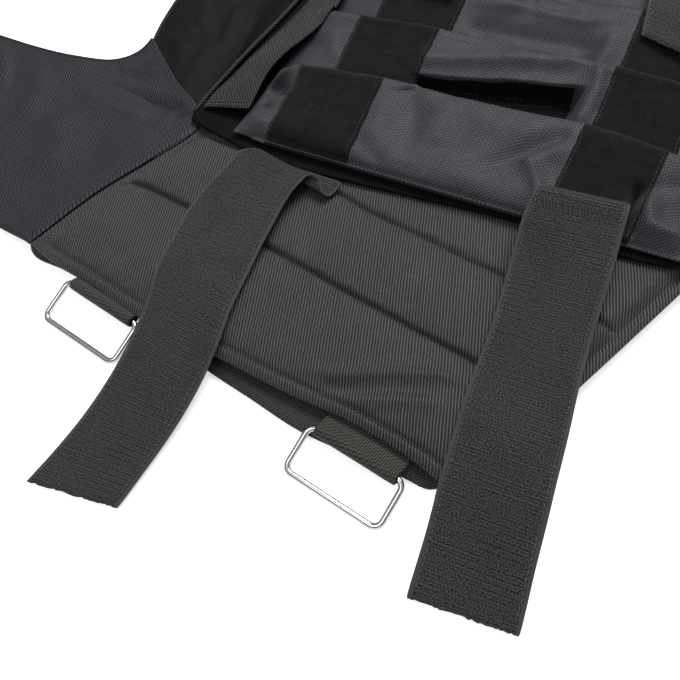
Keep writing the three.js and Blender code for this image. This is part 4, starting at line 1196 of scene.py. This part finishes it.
def shoulder(side, mat):
    k = np.array(SHOULDER, float)
    s = lengths(k[:, :3])
    nv, nu = 96, 40
    q = np.linspace(0, s[-1], nv)
    c = hermite(s, k, q)
    u = np.linspace(-1, 1, nu)
    t = np.gradient(c[:, :3], axis=0)
    t /= np.linalg.norm(t, axis=1, keepdims=True)
    up = np.cross(np.array([1.0, 0, 0]), t)
    up /= np.linalg.norm(up, axis=1, keepdims=True)
    puff = (1 - np.abs(u[None]) ** 4) * (0.55 + 0.45 * np.sin(np.pi * np.clip(q / s[-1], 0, 1)))[:, None]
    x = c[:, 0:1] + u[None] * c[:, 3:4] / 2
    P = np.dstack([x, np.repeat(c[:, 1:2], nu, 1), np.repeat(c[:, 2:3], nu, 1)])
    top = P + up[:, None] * (-0.9 + 0.9 * puff + 0.25 * noise2(x, np.repeat(q[:, None], nu, 1), 16, 151))[..., None]
    bottom = P + up[:, None] * (-3.4 - 0.8 * puff)[..., None]
    bottom[..., 2] = np.maximum(bottom[..., 2], 0.3)
    top[..., 2] = np.maximum(top[..., 2], 0.1)
    if side == "right":
        top[..., 0], bottom[..., 0] = 2 * CENTRE_X - top[..., 0], 2 * CENTRE_X - bottom[..., 0]
        top, bottom = top[:, ::-1], bottom[:, ::-1]
    uv = np.dstack([np.repeat((u * 38)[None], nv, 0), np.repeat(q[:, None], nu, 1)])
    v, f, w = solid(top, bottom, uv, rings=3, bulge=0.5)
    ob = make(f"shoulder_{side}_pad", v, f, w, mat)
    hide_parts(f"shoulder_{side}")
    return ob


# ---------------------------------------------------------------- rings and their loops
RINGS = {"left": (-140.1, -127.6, -10.5), "right": (28.6, -153.2, -9.5)}
RING_W, RING_H, CORNER, WIRE, AXIS_Z, LOW_Z = 55.2, 25.0, 4.6, 1.6, 8.0, 1.6


def ring_frame(side):
    """x along the held bar, y up the ring from it, z out of the ring's plane, and the bar's middle."""
    x, y, turn = RINGS[side]
    a, p = math.radians(turn), math.asin((AXIS_Z - LOW_Z) / RING_H)
    ex = np.array([math.cos(a), math.sin(a), 0])
    ey0 = np.array([-math.sin(a), math.cos(a), 0])
    ey = ey0 * math.cos(p) + np.array([0, 0, 1]) * math.sin(p)
    return ex, ey, np.cross(ex, ey), np.array([x, y, AXIS_Z])


def ring(side, mat):
    ex, ey, ez, o = ring_frame(side)
    w, h, c = RING_W / 2, RING_H, CORNER
    pts = []

    def corner(x, y, a0):
        for k in range(15):
            a = a0 + k / 14 * math.pi / 2
            pts.append((x + c * math.cos(a), y + c * math.sin(a)))

    def run(a, b, n):
        for k in range(1, n):
            pts.append((a[0] + (b[0] - a[0]) * k / n, a[1] + (b[1] - a[1]) * k / n))

    corner(w - c, -c, 0)
    run((w - c, 0), (-w + c, 0), 24)
    corner(-w + c, -c, math.pi / 2)
    run((-w, -c), (-w, -h + c), 8)
    corner(-w + c, -h + c, math.pi)
    run((-w + c, -h), (w - c, -h), 48)
    corner(w - c, -h + c, 1.5 * math.pi)
    run((w, -h + c), (w, -c), 8)
    p2 = np.array(pts)
    n = len(p2)
    tang = np.roll(p2, -1, 0) - np.roll(p2, 1, 0)
    tang /= np.linalg.norm(tang, axis=1, keepdims=True)
    out2 = np.stack([tang[:, 1], -tang[:, 0]], 1)
    m = 20
    ang = np.linspace(0, 2 * math.pi, m + 1)[:-1]
    r = np.full(n, WIRE)
    # butt joint of the wire in the free bar
    joint_x = {"left": 1.5, "right": 15.0}[side]
    on_bar = np.abs(p2[:, 1] + h) < 0.01
    gap = np.abs(p2[:, 0] - joint_x)
    r = r - np.where(on_bar, 0.20 * np.exp(-((gap / 0.35) ** 2)), 0)
    v = np.zeros((n, m, 3))
    for j, a in enumerate(ang):
        q = p2 + out2 * (r * math.cos(a))[:, None]
        v[:, j] = o + q[:, :1] * ex + q[:, 1:] * ey + (r * math.sin(a))[:, None] * ez
    s = np.r_[0, np.cumsum(np.linalg.norm(np.diff(p2, axis=0), axis=1))]
    uv = np.stack(np.meshgrid(ang * WIRE, s), -1)
    faces = []
    for k in range(n):
        k1 = (k + 1) % n
        for j in range(m):
            j1 = (j + 1) % m
            faces.append((k * m + j, k * m + j1, k1 * m + j1, k1 * m + j))
    ob = make(f"ring_{side}_wire", v.reshape(-1, 3), faces, uv.reshape(-1, 2), mat, body=f"ring_{side}")
    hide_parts(f"ring_{side}")
    return ob


def ring_loop(side, mat):
    """Webbing round the held bar, its two plies going under the hem."""
    x, y, turn = RINGS[side]
    a = math.radians(turn)
    ex = np.array([math.cos(a), math.sin(a), 0])
    ey = np.array([-math.sin(a), math.cos(a), 0])
    ez = np.array([0, 0, 1.0])
    o = np.array([x, y, AXIS_Z])
    R, W = 2.35, 1.25
    mid = R + W / 2
    root_s, root_z = 26.0, -1.95
    path = [(root_s, root_z + W / 2 + 0.1), (16, root_z + W / 2 + 0.12), (9, root_z + W / 2 + 0.35), (5.4, 0.5)]
    for k in range(17):
        t = math.radians(62 + k * (236 / 16))
        path.append((mid * math.cos(t), mid * math.sin(t)))
    path += [(5.4, -2.2), (9, root_z - W / 2 - 0.25), (16, root_z - W / 2 - 0.12), (root_s, root_z - W / 2 - 0.1)]
    p = curve(np.array(path), 130)
    s = lengths(p)
    t = np.gradient(p, axis=0)
    t /= np.linalg.norm(t, axis=1, keepdims=True)
    nrm = np.stack([t[:, 1], -t[:, 0]], 1)  # outwards
    nu = 44
    u = np.linspace(-1, 1, nu)
    half = 23.4 + 0.2 * noise2(s, s * 0, 7, 161)
    wav = 0.16 * noise2(np.repeat(u[None] * 24, len(p), 0), np.repeat(s[:, None], nu, 1), 9, 162)
    crown = 0.18 * (1 - np.abs(u) ** 6)

    def place(off):
        q = p[:, None] + nrm[:, None] * off[..., None]
        return o + (u[None] * half[:, None])[..., None] * ex + q[..., :1] * ey + q[..., 1:] * ez

    top = place(W / 2 - 0.16 + crown[None] + wav)
    bottom = place(np.full((len(p), nu), -W / 2 + 0.05))
    top[..., 2] = np.maximum(top[..., 2], 0.5)
    bottom[..., 2] = np.maximum(bottom[..., 2], 0.5)
    uv = np.dstack([np.repeat((u * 23.5)[None], len(p), 0), np.repeat(s[:, None], nu, 1)])
    v, f, w = solid(top[::-1], bottom[::-1], uv[::-1], rings=1, bulge=0.4)
    ob = make(f"ring_loop_{side}_webbing", v, f, w, mat)
    CUTS[ob.name] = (top + bottom) / 2
    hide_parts(f"ring_loop_{side}")
    return ob


# ---------------------------------------------------------------- edge trims
def binding(bunch, edge, inward, up, width=6.0, thick=3.4, drop=0.0):
    """Folded tape over an edge: a flat oval section whose outer side sits on the edge line."""
    edge = np.asarray(edge, float)
    ang = np.linspace(0, 2 * math.pi, 15)[:-1]
    e = 0.55
    sx = np.sign(np.cos(ang)) * np.abs(np.cos(ang)) ** e
    sy = np.sign(np.sin(ang)) * np.abs(np.sin(ang)) ** e
    prof = np.stack([sx * width / 2 + width / 2 - 0.8, sy * thick / 2 + drop], 1)
    inward = np.asarray(inward, float)
    v, f, u = sweep("", edge, inward, up, prof, None)
    d = np.cross(inward[len(edge) // 2], up[len(edge) // 2])
    t = edge[len(edge) // 2 + 1] - edge[len(edge) // 2]
    if d @ t < 0:
        f = [q[::-1] for q in f]
    bunch.add(v, f, u)


def edge_of(top, which, step=2.0):
    """A border line of a grid with unit vectors pointing into the sheet, and up."""
    n = normals_of(top)
    pick = {
        "left": (top[:, 0], top[:, 1], n[:, 0]), "right": (top[:, -1], top[:, -2], n[:, -1]),
        "low": (top[0], top[1], n[0]), "high": (top[-1], top[-2], n[-1]),
    }[which]
    e, i, m = pick
    t = np.gradient(e, axis=0)
    t /= np.maximum(np.linalg.norm(t, axis=1, keepdims=True), 1e-9)
    d = i - e
    d -= (d * t).sum(1, keepdims=True) * t
    m = m - (m * t).sum(1, keepdims=True) * t
    m /= np.maximum(np.linalg.norm(m, axis=1, keepdims=True), 1e-9)
    d -= (d * m).sum(1, keepdims=True) * m
    d /= np.maximum(np.linalg.norm(d, axis=1, keepdims=True), 1e-9)
    s = lengths(e)
    q = np.linspace(0, s[-1], max(2, int(s[-1] / step)))
    f = lambda a: np.stack([np.interp(q, s, a[:, c]) for c in range(3)], 1)
    return f(e), f(d), f(m)


# ---------------------------------------------------------------- build
make_camera()
studio()
MAT = make_materials()

panel = lower_panel(MAT["rib"])
back = back_panel(MAT["under"])
wing, wing_top = wing_left(MAT["side"])
wing_r = wing_right(MAT["binding"])
# the front body's near-black cloth is painted shade
body = front_body(MAT["painted_shade_hem_cloth"])
# side pieces in the darkened side nylon: painted shade
side_l, side_l_top = side_piece(MAT["side_up"], False)
side_r, side_r_top = side_piece(MAT["side_up"], True)
# the far rows take the darker pocket nylon: painted shade
rows = [pocket_row(r, MAT[("pocket", "pocket_2", "pocket_far_painted_shade", "pocket_far_painted_shade")[r]]) for r in range(4)]
# a near-black sheet laid in the sagging mouth: painted shade for the shadow inside the pocket
sag = curve([(-36, 73), (-20, 75.8), (0, 79.3), (33, 85.8), (60, 89.6)], 90)
drop_to = np.linspace(0, 1, 90)[:, None]
mouth_x = sag[None, :, 0] + 0 * drop_to
low_y = ROW_PITCH + 3.0
mouth_y = low_y + (sag[None, :, 1] + 0.3 + 0.12 * noise2(sag[:, 0], sag[:, 0] * 0, 14, 77)[None] - low_y) * drop_to
ends = smooth(sag[:, 0], -36, -31) * (1 - smooth(sag[:, 0], 56.5, 60))
mouth_z = row_top(1, mouth_x, mouth_y) - 0.7 + 1.05 * ends[None] * (1 - smooth(drop_to, 0.97, 1.0))
mouth_z = mouth_z + folds(mouth_x, mouth_y, [
    {"line": [(6, 71), (34, 78), (57, 84)], "w": 2.2, "h": 1.5},
    {"line": [(14, 66), (38, 71), (58, 76)], "w": 2.4, "h": 1.7},
    {"line": [(-30, 66), (-8, 68), (10, 67)], "w": 2.2, "h": 1.2},
]) * ends[None]
inner = sheet("pocket_mouth_painted_shade_cloth", np.dstack([mouth_x, mouth_y, mouth_z]), np.full(mouth_z.shape, 0.9), np.dstack([mouth_x, mouth_y]), MAT["inner"], rings=1)
patches = {}
for (r, side) in PATCHES:
    patches[(r, side)] = loop_patch(r, side, MAT["plush"], MAT["binding"])
strip_l, strip_l_top = side_strip("left", MAT["strip"])
strip_r, strip_r_top = side_strip("right", MAT["strip"])
hook_l = hook_strap("hook_strap_left_tape", HOOK_LEFT, -3, "hook_strap_left", MAT["hook"], 111)
hook_r = hook_strap("hook_strap_right_tape", HOOK_RIGHT, -1.5, "hook_strap_right", MAT["hook"], 121)
top_l = top_strap("left", MAT["hook"])
top_r = top_strap("right", MAT["hook"])
# shoulders in the same darkened nylon: painted shade
shoulder_l = shoulder("left", MAT["side_up"])
shoulder_r = shoulder("right", MAT["side_up"])
for side in ("left", "right"):
    ring(side, MAT["chrome"])
    ring_loop(side, MAT["web"])

# ---------------------------------------------------------------- how each cloth piece lies, listed only
HELD = {
    "wing_left_cloth": ("laid", ["lower_panel_cloth"]), "wing_right_cloth": ("laid", ["lower_panel_cloth"]),
    "front_body_cloth": ("laid", ["back_panel_cloth"]),
    "side_piece_left_cloth": ("laid", ["front_body_cloth"]), "side_piece_right_cloth": ("laid", ["front_body_cloth"]),
    "side_strip_left_cloth": ("laid", ["pocket_row_1_cloth"]), "side_strip_right_cloth": ("laid", ["pocket_row_1_cloth"]),
    "hook_strap_left_tape": ("laid", ["lower_panel_cloth"]), "hook_strap_right_tape": ("draped", ["pocket_row_1_cloth", "lower_panel_cloth"]),
    "top_strap_left_tape": ("laid", ["pocket_row_4_cloth"]), "top_strap_right_tape": ("laid", ["pocket_row_4_cloth"]),
    "ring_loop_left_webbing": ("folded", ["ring_left_wire"]), "ring_loop_right_webbing": ("folded", ["ring_right_wire"]),
}


def declare_cuts():
    """Goes over the stored surfaces of the laid cloth, which neither stretches nor shrinks; nothing is declared or
    worked out from them.
    """
    for name, top in CUTS.items():
        if name not in HELD:
            if name.startswith("pocket_row"):
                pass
            elif name == "pocket_mouth_painted_shade_cloth":
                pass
            elif name.startswith("loop_patch"):
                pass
            else:
                continue


declare_cuts()

# stitched lines
threads, dark_threads = Bunch(), Bunch()
panel_tree = tree_of(panel)


def stitch_plan(tree, line, bunch=threads, lift=0.14, **kw):
    p, n = drape(tree, evenly(curve(line, step=2.0), 1.2), lift)
    thread_run(bunch, p, n, **kw)


def offset(line, d):
    p = curve(line, step=3.0)
    t = np.gradient(p, axis=0)
    t /= np.linalg.norm(t, axis=1, keepdims=True)
    return p + np.stack([-t[:, 1], t[:, 0]], 1) * d


stitch_plan(panel_tree, offset(HEM, 5.3)[1:-1], seed=1, wander=0.12)
for i, l in enumerate((QUILT_A, QUILT_B)):
    stitch_plan(panel_tree, l, seed=3 + i, r=0.22, wander=0.1)
SEAM = [(-204.4, -107), (-196, -90), (-179.3, -51), (-165.5, -24), (-152.8, 2)]
stitch_plan(panel_tree, offset(SEAM, -6.6), seed=6, wander=0.12)
wing_tree = tree_of(wing)
stitch_plan(wing_tree, offset([(-207.5, -108), (-199, -90), (-182.5, -51), (-169, -27), (-158, -2)], 1.4), seed=7, wander=0.12)


def strap_stitches(parts, inset, start, stop, sides=(-1, 1), seed=1):
    ob, P, up, q, u, half, thick = parts
    k = np.flatnonzero((q > start) & (q < q[-1] - stop))
    for sd in sides:
        x = (half[k] - inset) / half[k] * sd
        n = np.array([[np.interp(x[i], u, P[r, :, c]) for c in range(3)] for i, r in enumerate(k)])
        thread_run(threads, n + up[k] * 0.12, up[k], pitch=3.0, r=0.3, wander=0.15, seed=seed + sd)


strap_stitches(hook_l, 2.6, 24, 3, seed=21)
strap_stitches(hook_r, 2.6, 35.5, 3, seed=24)
strap_stitches(top_r, 2.6, 30, 3, seed=27)
for parts, start in ((hook_r, 36.8),):
    ob, P, up, q, u, half, thick = parts
    r = int(np.searchsorted(q, start))
    thread_run(threads, P[r, 3:-3] + up[r] * 0.12, np.repeat(up[r][None], P.shape[1] - 6, 0), pitch=3.0, r=0.34, seed=31)
strip_tree = tree_of(strip_l)
for d in (1.0, 4.2):
    stitch_plan(strip_tree, [(-149.5, 13.8 + d), (-135, 15.4 + d), (-122, 17 + d)], seed=41, pitch=2.6, gap=0.3, r=0.3)
for (r, side), ob in patches.items():
    x_mouth, x_low, w = PATCHES[(r, side)]
    tree = tree_of(ob)
    for inset in (1.5, w - 1.5):
        x0, x1 = x_low + inset, x_low + (x_mouth - x_low) * 0.94 + inset
        stitch_plan(tree, [(x0, r * ROW_PITCH + 2.5), ((x0 + x1) / 2, r * ROW_PITCH + 26), (x1, r * ROW_PITCH + 50)], seed=61 + r, pitch=2.8, gap=0.5, r=0.2, lift=0.0, bunch=dark_threads)
threads.make("stitching", MAT["thread"])
dark_threads.make("patch_stitching", MAT["thread_dark"])

# tape over the armhole edges, the neck and the wing's lower edge
tapes = Bunch()
for top, which in ((wing_top, "high"), (wing_top, "low"), (side_l_top, "left"), (side_r_top, "right")):
    e, d, m = edge_of(top, which)
    binding(tapes, e, d, m, width=2.6, thick=2.5, drop=-0.9)
tapes.make("edge_tape", MAT["binding"])

# corded seam where the side pieces meet the pocket block
PIPING = [(-157.5, 9.5, 16.6), (-156, 23, 17.4), (-153.5, 40, 17.8), (-151, 60, 17.6), (-147.5, 82, 17.2), (-143.5, 108, 16.8), (-139.5, 140, 16.2), (-132, 180, 15.6), (-122, 226, 15.2)]
cords = Bunch()
for mirror in (False, True):
    line = curve(PIPING, step=2.5)
    if mirror:
        line[:, 0] = 2 * CENTRE_X - line[:, 0]
    t, side_dir, up = frames(line, (0, 0, 1))
    a = np.linspace(0, 2 * math.pi, 11)[:-1]
    v, f, w = sweep("", line, side_dir, up, np.stack([np.cos(a) * 1.35, np.sin(a) * 1.35], 1), None)
    cords.add(v, [q[::-1] for q in f], w)
cords.make("corded_seam", MAT["strip"])
